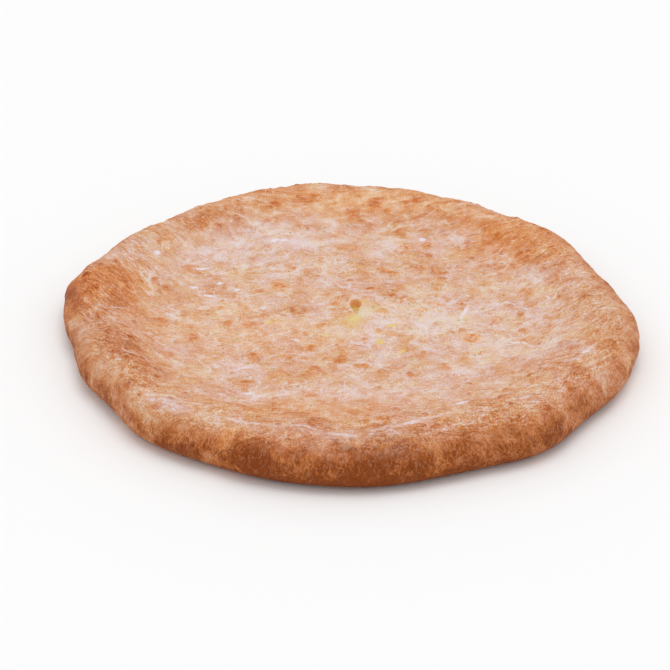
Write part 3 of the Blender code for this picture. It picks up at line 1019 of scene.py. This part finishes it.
def speck_tree():
    """Specks of flour scattered where the crust is dusted."""
    inputs = [(label, "NodeSocketFloat") for label in ("Density", "Smallest", "Largest")]
    web, given = named_tree("flour specks", inputs + [("Material", "NodeSocketMaterial")])
    dusted = web.line(web.field("flour"), 0.92, 0.03)
    dusted = web.times(dusted, web.step(web.field("down"), 0.0, 0.3, 1.0, 0.05))
    dusted = web.times(
        dusted, web.fall(web.field("below"), 0.0, 0.3), web.step(web.field("vent"), 1.2, 2.4)
    )
    clumps = web.step(web.waves(web.field("rest", "FLOAT_VECTOR"), 9.0 * MM, 67.0), -0.04, 0.12)
    dusted = web.times(dusted, clumps)
    scattered = web.node(
        "GeometryNodeDistributePointsOnFaces",
        {
            "Mesh": given.outputs["Geometry"],
            "Density": web.times(dusted, given.outputs["Density"]),
            "Seed": 5,
        },
    )
    speck = web.node("GeometryNodeMeshIcoSphere", {"Radius": 1.0, "Subdivisions": 1})
    turn = web.node(
        "FunctionNodeRandomValue",
        {0: (-0.6, -0.6, 0.0), 1: (0.6, 0.6, 6.28), "Seed": 6},
        data_type="FLOAT_VECTOR",
    )
    lean = web.node(
        "FunctionNodeRotateRotation",
        {0: scattered.outputs["Rotation"], 1: turn.outputs["Value"]},
        rotation_space="LOCAL",
    )
    size = web.node(
        "FunctionNodeRandomValue", {"Min": 0.0, "Max": 1.0, "Seed": 7}, data_type="FLOAT"
    )
    cubed = web.math("POWER", size.outputs["Value"], 3.0)
    span = web.math("SUBTRACT", given.outputs["Largest"], given.outputs["Smallest"])
    radius = web.line(cubed, span, given.outputs["Smallest"])
    shape = web.node(
        "FunctionNodeRandomValue",
        {0: (0.7, 0.7, 0.35), 1: (1.3, 1.1, 0.6), "Seed": 8},
        data_type="FLOAT_VECTOR",
    )
    stretched = web.grown_by(shape.outputs["Value"], radius)
    placed = web.node(
        "GeometryNodeInstanceOnPoints",
        {
            "Points": scattered.outputs["Points"],
            "Instance": speck.outputs["Mesh"],
            "Rotation": lean.outputs[0],
            "Scale": stretched,
        },
    )
    close_tree(web, placed.outputs[0], given.outputs["Material"])
    return web.tree


def grown(obj, tree, values):
    """Runs a geometry tree on an object and keeps the result as its plain mesh."""
    modifier = obj.modifiers.new(tree.name, "NODES")
    modifier.node_group = tree
    for item in tree.interface.items_tree:
        if item.item_type == "SOCKET" and item.in_out == "INPUT" and item.name in values:
            modifier[item.identifier] = values[item.name]
    graph = bpy.context.evaluated_depsgraph_get()
    graph.update()
    mesh = bpy.data.meshes.new_from_object(obj.evaluated_get(graph))
    obj.modifiers.clear()
    old = obj.data
    obj.data = mesh
    bpy.data.meshes.remove(old)
    mesh.name = obj.name
    if not mesh.polygons:
        raise RuntimeError(f"{obj.name}: the tree made no faces")


# -----------------------------------------------------------------------------
# Materials.

# Tints that multiply the colour of the dough, and how far its speckles change red, green and blue.
CREAM_TINT = (1.01, 1.0, 0.92, 1.0)
LILAC_TINT = (0.99, 0.985, 1.17, 1.0)
ORANGE_TINT = (1.10, 0.96, 0.72, 1.0)
SPECKLE_AMOUNT = (0.13, 0.15, 0.42)

# Colours of what lies on the dough or is cut into it, and of painted highlights and painted light.
RIM_MARK_COLOUR = (0.82, 0.60, 0.46, 1.0)
HIGH_HAIR_COLOUR, LOW_HAIR_COLOUR = (0.62, 0.33, 0.20, 1.0), (0.42, 0.155, 0.055, 1.0)
SIDE_POWDER_COLOUR = (0.76, 0.50, 0.37, 1.0)
THICK_FLOUR_COLOUR = (0.84, 0.80, 0.90, 1.0)
FAR_BUTTER_COLOUR = (0.79, 0.48, 0.15, 1.0)
# A painted highlight, mixed in where the crust is glossy.
PAINTED_HIGHLIGHT_COLOUR = (0.78, 0.68, 0.50, 1.0)
DARK_PORE_COLOUR, PALE_PORE_COLOUR = (0.46, 0.26, 0.08, 1.0), (0.70, 0.47, 0.17, 1.0)
# The lip's pale colour: partly dough, partly a painted highlight along the vent's edge.
LIP_HIGHLIGHT_COLOUR = (0.84, 0.62, 0.47, 1.0)
# The wall's orange-brown, made lighter as painted light against the shade in the hole.
LOW_WALL_COLOUR, HIGH_WALL_COLOUR = (0.74, 0.38, 0.07, 1.0), (0.78, 0.36, 0.13, 1.0)

# Colours of the filling beside its own, and of the other materials.
CURD_COLOUR = (0.62, 0.36, 0.055, 1.0)
DEEP_FILLING_COLOUR, DARK_FILLING_COLOUR = (0.72, 0.36, 0.09, 1.0), (0.58, 0.23, 0.06, 1.0)
FILLING_TIP_COLOUR = (0.82, 0.54, 0.22, 1.0)
SPECK_COLOUR = (0.88, 0.80, 0.78, 1.0)
FLOOR_COLOUR = (0.93, 0.93, 0.93, 1.0)


def new_material(name, roughness):
    """(material, its web, its Principled shader)."""
    material = bpy.data.materials.new(name)
    material.use_nodes = True
    shader = material.node_tree.nodes["Principled BSDF"]
    shader.inputs["Roughness"].default_value = roughness
    return material, Web(material.node_tree), shader


def four(colour):
    """A colour with its alpha."""
    return (*colour, 1.0)


def bake_colours(web, bake_and_shade, crust):
    """The colour of dough by how far it is baked, with the painted shade and light that this level
    holds.
    """
    ramp = web.node("ShaderNodeValToRGB", {0: bake_and_shade})
    stops = (
        (0.0, crust.cream_colour),
        (0.12, crust.pale_colour),
        (0.31, crust.tan_colour),
        (0.58, crust.golden_colour),
        (0.85, crust.brown_colour),
        (1.0, crust.dark_colour),
    )
    elements = ramp.color_ramp.elements
    elements[0].position, elements[1].position = stops[0][0], stops[-1][0]
    elements[0].color, elements[1].color = four(stops[0][1]), four(stops[-1][1])
    for place, colour in stops[1:-1]:
        elements.new(place).color = four(colour)
    return ramp.outputs[0]


class Dough:
    """The fields and the patterns of the baked dough, which the layers of its finish share."""

    def __init__(self, web):
        self.rest, self.flow, self.around = (
            web.field(name, "FLOAT_VECTOR") for name in ("rest", "flow", "around")
        )
        self.rim, self.down, self.vent, self.spots = (
            web.field(name) for name in ("rim", "down", "vent", "spots")
        )
        self.side = web.step(self.down, 0.15, 0.55)
        self.flat = web.fall(self.side, 0.0, 1.0)
        self.across = web.node("ShaderNodeSeparateXYZ", {0: self.rest}).outputs[1]
        self.back = web.step(self.across, 60.0 * MM, 120.0 * MM)
        self.calm = web.step(self.back, 0.0, 1.0, 1.0, 0.5)
        self.broad, self.middle = dough_blotches(web, self.flow)
        self.small = web.waves(
            self.flow, 2.7 * MM, 31.0, roughness=0.6, warp=0.3, stretch=(2.0, 1.0, 1.0)
        )
        self.grain = web.waves(self.rest, 0.9 * MM, 37.0, roughness=0.65, stretch=(1.0, 1.5, 1.0))
        self.bumps, self.brownness = dough_bumps(web, self.rest, *SMALL_BUMPS)
        self.wide_bumps, self.wide_brownness = dough_bumps(web, self.rest, *WIDE_BUMPS)
        fine, long = dough_strokes(web, self.flow, self.rim)
        self.fine_strokes = web.times(fine, self.flat, web.line(self.rim, 1.1, 0.4))
        self.long_strokes = web.times(long, self.flat)
        narrow, shade_beside_narrow = dough_creases(web, self.flow, *NARROW_CREASES)
        wide, shade_beside_wide = dough_creases(web, self.flow, *WIDE_CREASES)
        self.lines = web.times(web.most(narrow, wide), self.flat)
        # Painted shade beside the creases.
        self.beside = web.most(shade_beside_narrow, shade_beside_wide)
        self.coarse, self.fibres = side_strands(web, self.around)
        self.wrinkles = rim_wrinkles(web, self.around, self.flow)
        self.islands = web.times(pale_islands(web, self.rest), self.flat)


def bake_and_shade_level(web, dough):
    """How far the dough is baked: by its place, by its patterns and in its spots, with the painted
    shade and light of the stored level.
    """
    dish_part = web.add(
        web.times(dough.broad, 0.55),
        web.times(dough.middle, web.line(dough.back, 0.45, 0.42)),
        web.times(dough.small, dough.calm, 0.40),
        web.times(dough.islands, -0.06),
        web.times(dough.lines, -0.17),
        # Painted shade beside the creases, as a browner band.
        web.times(dough.beside, 0.08),
        web.times(dough.grain, web.line(dough.rim, 0.5, 0.75), dough.calm),
        web.times(dough.wrinkles, 0.60, dough.rim, dough.calm),
        web.times(dough.fine_strokes, dough.calm, -0.10),
        web.times(dough.long_strokes, -0.08),
        web.times(dough.bumps, web.line(dough.brownness, 0.14, 0.06)),
        web.times(dough.wide_bumps, web.line(dough.wide_brownness, 0.09, 0.06)),
    )
    side_part = web.add(
        web.times(dough.coarse, 1.3),
        web.times(web.waves(dough.around, 5.0 * MM, 141.0, roughness=0.6, warp=0.6), 0.7),
        web.times(dough.fibres, 0.9),
        web.times(dough.grain, 0.6),
        web.times(dough.broad, 0.9),
    )
    spots = web.times(dough.spots, SPOT_BAKE, web.line(dough.small, 1.6, 1.0))
    return web.add(
        web.field("bake_and_shade"), web.times(dish_part, dough.flat), web.times(side_part, dough.side), spots
    )


def tinted(web, dough, colour):
    """Leans the dough to cream, lilac or orange, and adds fine changes of colour and shade."""
    drift = web.add(
        web.waves(dough.rest, 26.0 * MM, 71.0),
        web.times(web.waves(dough.rest, 5.0 * MM, 73.0), 0.8),
    )
    tint = web.mix(web.step(drift, -0.2, 0.2), CREAM_TINT, LILAC_TINT)
    toasted = web.add(
        web.times(dough.spots, 2.2),
        web.times(dough.bumps, dough.brownness, 0.45),
        web.times(dough.wide_bumps, 0.3),
    )
    orange = web.math("MINIMUM", web.add(web.field("orange"), toasted), 1.2)
    colour = web.mix(1.0, colour, web.mix(orange, tint, ORANGE_TINT), blend="MULTIPLY")
    speckles = web.mix(
        dough.side, web.speckle(dough.rest, 1.1 * MM, 97.0, SPECKLE_AMOUNT), (1.0, 1.0, 1.0, 1.0)
    )
    colour = web.mix(1.0, colour, speckles, blend="MULTIPLY")
    shade = web.line(web.waves(dough.rest, 0.8 * MM, 119.0, detail=1.0), 0.5, 1.0)
    return web.grown_by(colour, shade)


def marked(web, dough, colour, crust):
    """(the colour with its pale marks: wisps, strokes, islands, creases and grain; the wisps)."""
    here = web.step(web.waves(dough.rest, 15.0 * MM, 89.0), -0.1, 0.12)
    bent = web.wandering(dough.flow, 16.0 * MM, 85.0, 6.0 * MM)
    wisps = web.waves(bent, 1.6 * MM, 83.0, roughness=0.6, warp=0.9, stretch=(4.5, 1.0, 1.0))
    wisps = web.times(web.step(wisps, 0.10, 0.2), here, dough.flat)
    open_dough = web.step(dough.rim, 0.3, 1.0, 1.0, 0.25)
    inner = web.step(dough.down, 0.0, 0.12, 1.0, 0.2)
    marks = web.times(wisps, web.step(dough.rim, 0.3, 1.0, 0.6, 0.4))
    marks = web.most(marks, web.times(dough.long_strokes, web.line(dough.rim, 0.2, 0.2)))
    marks = web.most(marks, web.times(dough.islands, here, open_dough, 0.35))
    marks = web.most(
        marks, web.times(dough.lines, open_dough, web.step(here, 0.0, 1.0, 0.05, 0.40))
    )
    sugary = web.times(
        web.step(dough.grain, 0.07, 0.2),
        web.line(dough.rim, 0.3, 0.06),
        dough.flat,
        inner,
        dough.calm,
    )
    marks = web.most(marks, sugary)
    mark_colour = web.mix(
        web.step(dough.rim, 0.2, 0.9, 0.0, 0.8), four(crust.flour_colour), RIM_MARK_COLOUR
    )
    return web.mix(marks, colour, mark_colour), wisps


def haired(web, dough, colour):
    """Thin pale fibres over the browned side."""
    veil = web.step(
        web.waves(dough.around, 9.0 * MM, 131.0, detail=3.0, roughness=0.55), -0.1, 0.16, 0.35, 1.0
    )
    bent = web.wandering(dough.around, 3.0 * MM, 137.0, 2.4 * MM)
    hairs = web.waves(bent, 1.2 * MM, 139.0, stretch=(0.9, 0.9, 2.2))
    hairs = web.times(web.step(hairs, -0.04, 0.16), veil, dough.side, 0.5)
    return web.mix(
        hairs, colour, web.mix(web.step(dough.down, 0.3, 0.9), HIGH_HAIR_COLOUR, LOW_HAIR_COLOUR)
    )


def floured_over(web, dough, colour, crust):
    """(the colour with its dusted flour, streaks and flecks; how floured it is)."""
    dusting = web.step(
        web.waves(dough.flow, 7.0 * MM, 77.0, detail=3.0, roughness=0.65, warp=0.5), -0.10, 0.12
    )
    dusted = web.times(web.field("flour"), web.line(dusting, 0.85, 0.15))
    ragged = web.line(web.add(dough.small, dough.grain), 2.6, 0.75)
    strayed = web.line(web.waves(dough.rest, 3.5 * MM, 127.0), 2.6, web.field("streak_side"))
    broken = web.step(web.waves(dough.rest, 6.0 * MM, 129.0, detail=1.0), -0.10, 0.08, 0.2, 1.0)
    streak = web.times(
        web.fall(web.math("ABSOLUTE", strayed), 0.2, 1.5), web.field("streaks"), ragged, broken
    )
    flecks = web.add(web.field("flecks"), dough.small, web.times(dough.grain, 1.3))
    flecks = web.times(web.step(flecks, 0.3, 0.75), web.step(web.field("flecks"), 0.03, 0.15))
    floured = web.most(web.most(dusted, streak), flecks, clamp=True)
    powder = web.mix(
        web.step(dough.down, 0.04, 0.25, 0.0, 0.85), four(crust.flour_colour), SIDE_POWDER_COLOUR
    )
    colour = web.mix(floured, colour, powder)
    thick = web.most(flecks, web.times(streak, 0.4), clamp=True)
    return web.mix(web.times(thick, 0.7), colour, THICK_FLOUR_COLOUR), floured


def buttered(web, dough, colour, crust):
    """(the colour with soaked and pooled butter and a painted highlight where it is glossy; how
    soaked it is)
    """
    uneven = web.step(
        web.add(dough.middle, dough.small, web.times(dough.grain, 0.8)), -0.2, 0.12, 0.4, 1.0
    )
    pooled = web.add(
        web.field("butter_spots"), web.times(dough.small, 0.7), web.times(dough.grain, 0.9)
    )
    pooled = web.times(web.step(pooled, 0.30, 0.62), web.step(web.field("butter_spots"), 0.05, 0.2))
    soaked = web.most(web.times(web.field("butter"), uneven), pooled)
    beyond = web.step(dough.across, 2.0 * MM, 9.0 * MM)
    colour = web.mix(
        web.times(soaked, 0.95), colour, web.mix(
            beyond, four(crust.butter_colour), FAR_BUTTER_COLOUR
        )
    )
    # Painted highlight: a pale colour mixed in where the crust is glossy, on the top only.
    painted_highlight = web.times(web.field("gloss_and_highlight"), web.fall(dough.down, 0.1, 0.3))
    return web.mix(web.times(painted_highlight, 0.75), colour, PAINTED_HIGHLIGHT_COLOUR), soaked


def pored(web, dough, colour, crust):
    """(the colour with a few pores, each in a pale ring; the pores)."""
    away, chance, size = web.cells(dough.rest, 6.4 * MM, stretch=(1.15, 1.0))
    radius = web.line(size, 0.16, 0.13)
    few = web.times(web.step(chance, 0.89, 0.91), dough.flat, web.fall(dough.rim, 0.0, 0.6))
    pores = web.times(web.fall(away, web.times(radius, 0.2), radius), few)
    ring = web.times(web.fall(away, radius, web.times(radius, 2.2)), few)
    colour = web.mix(web.times(ring, 0.4), colour, four(crust.cream_colour))
    return web.mix(
        web.times(pores, 0.85), colour, web.mix(size, DARK_PORE_COLOUR, PALE_PORE_COLOUR)
    ), pores


def vented(web, dough, colour):
    """The vent's pale lip, partly a painted highlight, and its wall, lightened with painted light."""
    # Painted highlight along the raised lip of the vent.
    lip_highlight = web.times(web.step(dough.vent, 1.15, 1.25), web.fall(dough.vent, 1.35, 1.65))
    lip_highlight = web.times(lip_highlight, web.step(web.field("butter"), 0.2, 0.7, 0.6, 0.1))
    colour = web.mix(lip_highlight, colour, LIP_HIGHLIGHT_COLOUR)
    # The wall's baked colour, lightened as painted light against the hole's shade.
    wall = web.mix(web.step(dough.vent, 0.84, 0.96), LOW_WALL_COLOUR, HIGH_WALL_COLOUR)
    return web.mix(web.fall(dough.vent, 1.06, 1.18), colour, wall)


def crust_material(crust):
    """Baked dough: mottled from cream to brown, with creases, flour, pores and butter."""
    material, web, shader = new_material("baked_dough", 0.62)
    dough = Dough(web)
    colour = tinted(web, dough, bake_colours(web, bake_and_shade_level(web, dough), crust))
    colour, wisps = marked(web, dough, colour, crust)
    colour, floured = floured_over(web, dough, haired(web, dough, colour), crust)
    colour, soaked = buttered(web, dough, colour, crust)
    colour, pores = pored(web, dough, colour, crust)
    web.put(shader.inputs["Base Color"], vented(web, dough, colour))

    rough = web.add(
        0.60, web.times(floured, 0.25), web.times(dough.grain, 0.2), web.times(dough.side, -0.06)
    )
    rough = web.add(rough, web.times(web.field("gloss_and_highlight"), -0.36), web.times(soaked, -0.12))
    web.put(shader.inputs["Roughness"], web.most(rough, 0.2))
    shader.inputs["Specular IOR Level"].default_value = 0.12

    height = web.add(
        web.times(dough.grain, 1.2),
        web.times(dough.small, 1.6),
        web.times(dough.wrinkles, 1.4, dough.rim, dough.flat),
        web.times(web.add(web.times(dough.coarse, 0.8), dough.fibres), dough.side, 2.0),
        web.times(dough.fine_strokes, 0.12),
        web.times(wisps, 0.12),
        web.times(dough.lines, 0.2),
        web.times(pores, -1.0),
    )
    bump = web.node(
        "ShaderNodeBump", {"Height": height, "Distance": 4.0 * crust.grain, "Strength": 1.0}
    )
    web.put(shader.inputs["Normal"], bump.outputs[0])
    return material


def filling_material(filling):
    """Melted filling: smooth, wet and yellow, browner at its far end."""
    material, web, shader = new_material("melted_cheese", 0.22)
    place = web.node("ShaderNodeTexCoord").outputs["Object"]
    split = web.node("ShaderNodeSeparateXYZ", {0: place})
    far = web.step(
        split.outputs[1], VENT_PLACE[1] - 2.0 * MM, VENT_PLACE[1] + 0.8 * VENT_HALF_LENGTH
    )
    tip = web.fall(split.outputs[1], VENT_PLACE[1] - 9.0 * MM, VENT_PLACE[1] - 5.0 * MM)
    curds = web.step(web.waves(place, 1.8 * MM, 5.0), -0.15, 0.15)
    light = web.mix(curds, four(filling.colour), CURD_COLOUR)
    right = web.step(split.outputs[0], VENT_PLACE[0] - 1.5 * MM, VENT_PLACE[0] + 2.0 * MM)
    deep = web.mix(right, DEEP_FILLING_COLOUR, DARK_FILLING_COLOUR)
    colour = web.mix(web.times(far, 0.8), light, deep)
    colour = web.mix(web.times(tip, 0.8), colour, FILLING_TIP_COLOUR)
    web.put(shader.inputs["Base Color"], colour)
    ripples = web.waves(place, 0.9 * MM, 9.0)
    bump = web.node(
        "ShaderNodeBump", {"Height": ripples, "Distance": 0.4 * MM, "Strength": 0.6}
    )
    web.put(shader.inputs["Normal"], bump.outputs[0])
    return material


def flour_material(crust):
    """Dry flour: matt and nearly white."""
    material, web, shader = new_material("dry_flour", 0.95)
    place = web.node("ShaderNodeTexCoord").outputs["Object"]
    shade = web.step(web.waves(place, 3.0 * MM, 13.0), -0.2, 0.2)
    colour = web.mix(shade, four(crust.flour_colour), SPECK_COLOUR)
    web.put(shader.inputs["Base Color"], colour)
    return material


def floor_material():
    """A plain pale floor."""
    material, _, shader = new_material("pale_floor", 0.9)
    shader.inputs["Base Color"].default_value = FLOOR_COLOUR
    shader.inputs["Specular IOR Level"].default_value = 0.1
    return material


# -----------------------------------------------------------------------------
# Pieces.


def add_piece(name, mesh):
    """An object of the scene for a mesh, at the origin."""
    obj = bpy.data.objects.new(name, mesh)
    bpy.context.scene.collection.objects.link(obj)
    return obj


def make_crust(crust):
    """The skin of the pie, from the blank's grid to the finished relief."""
    blank, arc, faces = crust_grid()
    points = hand_formed(blank)
    mesh = mesh_of("crust_skin", points, faces)
    points = points + normals_of(mesh) * relief(points)[:, None]
    top = smooth_step(blank[:, 2], 0.5 * RIM_HEIGHT, 0.6 * RIM_HEIGHT)
    vent = vent_distance(points[:, 0], points[:, 1])
    surface = points.copy()
    points[:, 2] += top * LIP_HEIGHT * np.exp(-(((vent - 1.0 - LIP_REACH) / LIP_REACH) ** 2))
    points[:, 2] -= top * VENT_DEPTH * (1.0 - smooth_step(vent, *VENT_WALL))
    move_points(mesh, points)
    surface_facts(mesh, blank, arc, surface)
    obj = add_piece("crust_skin", mesh)
    values = {
        "Pillow Height": crust.pillow,
        "Crease Depth": crust.crease,
        "Bump Height": crust.bump,
        "Wrinkle Depth": crust.wrinkle,
        "Material": crust_material(crust),
    }
    grown(obj, relief_tree(), values)
    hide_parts("crust")
    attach(obj, BODY)


def make_filling(filling):
    """A plug of melted filling that reaches into the vent's wall and slopes up to its near end."""
    low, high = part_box("filling")
    ring, turn = disc_points(FILLING_RINGS)
    share = ring / FILLING_RINGS
    along = share * np.sin(turn) * np.where(np.sin(turn) < 0.0, VENT_TAIL, 1.0) * VENT_HALF_LENGTH
    narrow = 1.0 - VENT_NARROWING * smooth_step(-along, -0.2 * VENT_HALF_LENGTH, VENT_HALF_LENGTH)
    x = VENT_PLACE[0] + share * np.cos(turn) * VENT_HALF_WIDTH * narrow
    y = VENT_PLACE[1] + along
    near = smooth_step(-along, -0.9 * VENT_HALF_LENGTH, 0.75 * VENT_HALF_LENGTH)
    depth = filling.far_depth + (filling.near_depth - filling.far_depth) * near
    ripple = np.array([noise.noise(Vector((a, b, 0.0)) / RIPPLE_LENGTH) for a, b in zip(x, y)])
    top = high[2] + FILLING_RISE - depth + RIPPLE_HEIGHT * ripple - FILLING_DOME * share**2
    foot = np.minimum(top - FILLING_THINNEST, low[2] + FILLING_FOOT)
    points = np.concatenate([np.stack([x, y, height], axis=1) for height in (top, foot)])
    start, count = len(top), 6 * FILLING_RINGS
    step = np.arange(count)
    a, b = ring_start(FILLING_RINGS) + step, ring_start(FILLING_RINGS) + (step + 1) % count
    faces = [
        disc_faces(FILLING_RINGS),
        disc_faces(FILLING_RINGS)[:, ::-1] + start,
        np.stack([a, a + start, b + start], axis=1),
        np.stack([a, b + start, b], axis=1),
    ]
    mesh = mesh_of("filling_melt", points, np.concatenate(faces))
    mesh.materials.append(filling_material(filling))
    obj = add_piece("filling_melt", mesh)
    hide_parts("filling")
    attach(obj, BODY)


def make_specks(crust, flour):
    """Loose specks of flour on the finished crust."""
    obj = add_piece("flour_specks", bpy.data.objects["crust_skin"].data.copy())
    values = {
        "Density": flour.density,
        "Smallest": flour.smallest,
        "Largest": flour.largest,
        "Material": flour_material(crust),
    }
    grown(obj, speck_tree(), values)
    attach(obj, BODY)


def make_camera():
    """The camera at the photograph's angle, with the middle of the pie on its pixel."""
    data = bpy.data.cameras.new("photo camera")
    data.sensor_width = SENSOR_WIDTH
    data.lens = PIXELS_PER_METRE * CAMERA_DISTANCE / PHOTO_SIZE * SENSOR_WIDTH
    camera = bpy.data.objects.new("photo camera", data)
    bpy.context.scene.collection.objects.link(camera)
    bpy.context.scene.camera = camera
    down = np.radians(CAMERA_ELEVATION)
    forward = Vector((0.0, np.cos(down), -np.sin(down)))
    right = Vector((1.0, 0.0, 0.0))
    up = right.cross(forward)
    off_x, off_y = ((value - PHOTO_SIZE / 2.0) / PIXELS_PER_METRE for value in PIE_PIXEL)
    aim = Vector((0.0, 0.0, AIM_HEIGHT))
    camera.location = aim - CAMERA_DISTANCE * forward - off_x * right + off_y * up
    camera.rotation_euler = (np.pi / 2.0 - down, 0.0, 0.0)


def make_light(stage):
    """Even light from all sides, and one broad soft lamp from above and behind."""
    scene = bpy.context.scene
    world = bpy.data.worlds.new("studio")
    world.use_nodes = True
    background = world.node_tree.nodes["Background"]
    background.inputs["Color"].default_value = (1.0, 1.0, 1.0, 1.0)
    background.inputs["Strength"].default_value = stage.sky
    scene.world = world
    data = bpy.data.lights.new("soft lamp", "SUN")
    data.energy = stage.lamp
    data.angle = np.radians(LAMP_ANGLE)
    lamp = bpy.data.objects.new("soft lamp", data)
    lamp.rotation_euler = [np.radians(turn) for turn in LAMP_TURN]
    scene.collection.objects.link(lamp)
    scene.view_settings.view_transform = "Standard"


def make_floor(stage):
    """The pale floor under the pie."""
    half = stage.floor_size / 2.0
    mesh = bpy.data.meshes.new("floor")
    corners = [(-half, -half, 0.0), (half, -half, 0.0), (half, half, 0.0), (-half, half, 0.0)]
    mesh.from_pydata(corners, [], [(0, 1, 2, 3)])
    mesh.materials.append(floor_material())
    floor = add_piece("floor", mesh)
    floor.location.z = -FLOOR_GAP


# -----------------------------------------------------------------------------
# Operators and panel.


class PieMakeCrust(bpy.types.Operator):
    """Make the browned, floury crust"""

    bl_idname = "pie.make_crust"
    bl_label = "Make Crust"

    def execute(self, context):
        make_crust(context.scene.pie_crust)
        return {"FINISHED"}


class PieMakeFilling(bpy.types.Operator):
    """Make the melted filling in the vent"""

    bl_idname = "pie.make_filling"
    bl_label = "Make Filling"

    def execute(self, context):
        make_filling(context.scene.pie_filling)
        return {"FINISHED"}


class PieDustFlour(bpy.types.Operator):
    """Scatter loose specks of flour over the crust"""

    bl_idname = "pie.dust_flour"
    bl_label = "Dust Flour"

    def execute(self, context):
        make_specks(context.scene.pie_crust, context.scene.pie_flour)
        return {"FINISHED"}


class PieSetStage(bpy.types.Operator):
    """Set the floor, the light and the camera"""

    bl_idname = "pie.set_stage"
    bl_label = "Set Stage"

    def execute(self, context):
        stage = context.scene.pie_stage
        make_camera()
        make_light(stage)
        make_floor(stage)
        return {"FINISHED"}


class PiePanel(bpy.types.Panel):
    """Settings and steps of the pie"""

    bl_idname = "VIEW3D_PT_pie"
    bl_label = "Pie"
    bl_space_type = "VIEW_3D"
    bl_region_type = "UI"
    bl_category = "Pie"

    def draw(self, context):
        layout = self.layout
        for group, operator in PANEL_ROWS:
            settings = getattr(context.scene, group)
            for name in settings.__annotations__:
                layout.prop(settings, name)
            layout.operator(operator)


PANEL_ROWS = (
    ("pie_stage", "pie.set_stage"),
    ("pie_crust", "pie.make_crust"),
    ("pie_filling", "pie.make_filling"),
    ("pie_flour", "pie.dust_flour"),
)

SETTINGS = {
    "pie_crust": PieCrustSettings,
    "pie_filling": PieFillingSettings,
    "pie_flour": PieFlourSettings,
    "pie_stage": PieStageSettings,
}

CLASSES = (*SETTINGS.values(), PieMakeCrust, PieMakeFilling, PieDustFlour, PieSetStage, PiePanel)


def register():
    """Makes the classes and the scene's settings known."""
    for made in CLASSES:
        bpy.utils.register_class(made)
    for name, group in SETTINGS.items():
        setattr(bpy.types.Scene, name, bpy.props.PointerProperty(type=group))


def unregister():
    """Takes them away again."""
    for name in SETTINGS:
        delattr(bpy.types.Scene, name)
    for made in reversed(CLASSES):
        bpy.utils.unregister_class(made)


def main():
    """Makes the whole scene."""
    register()
    bpy.ops.pie.set_stage()
    bpy.ops.pie.make_crust()
    bpy.ops.pie.make_filling()
    bpy.ops.pie.dust_flour()


if __name__ == "__main__":
    main()
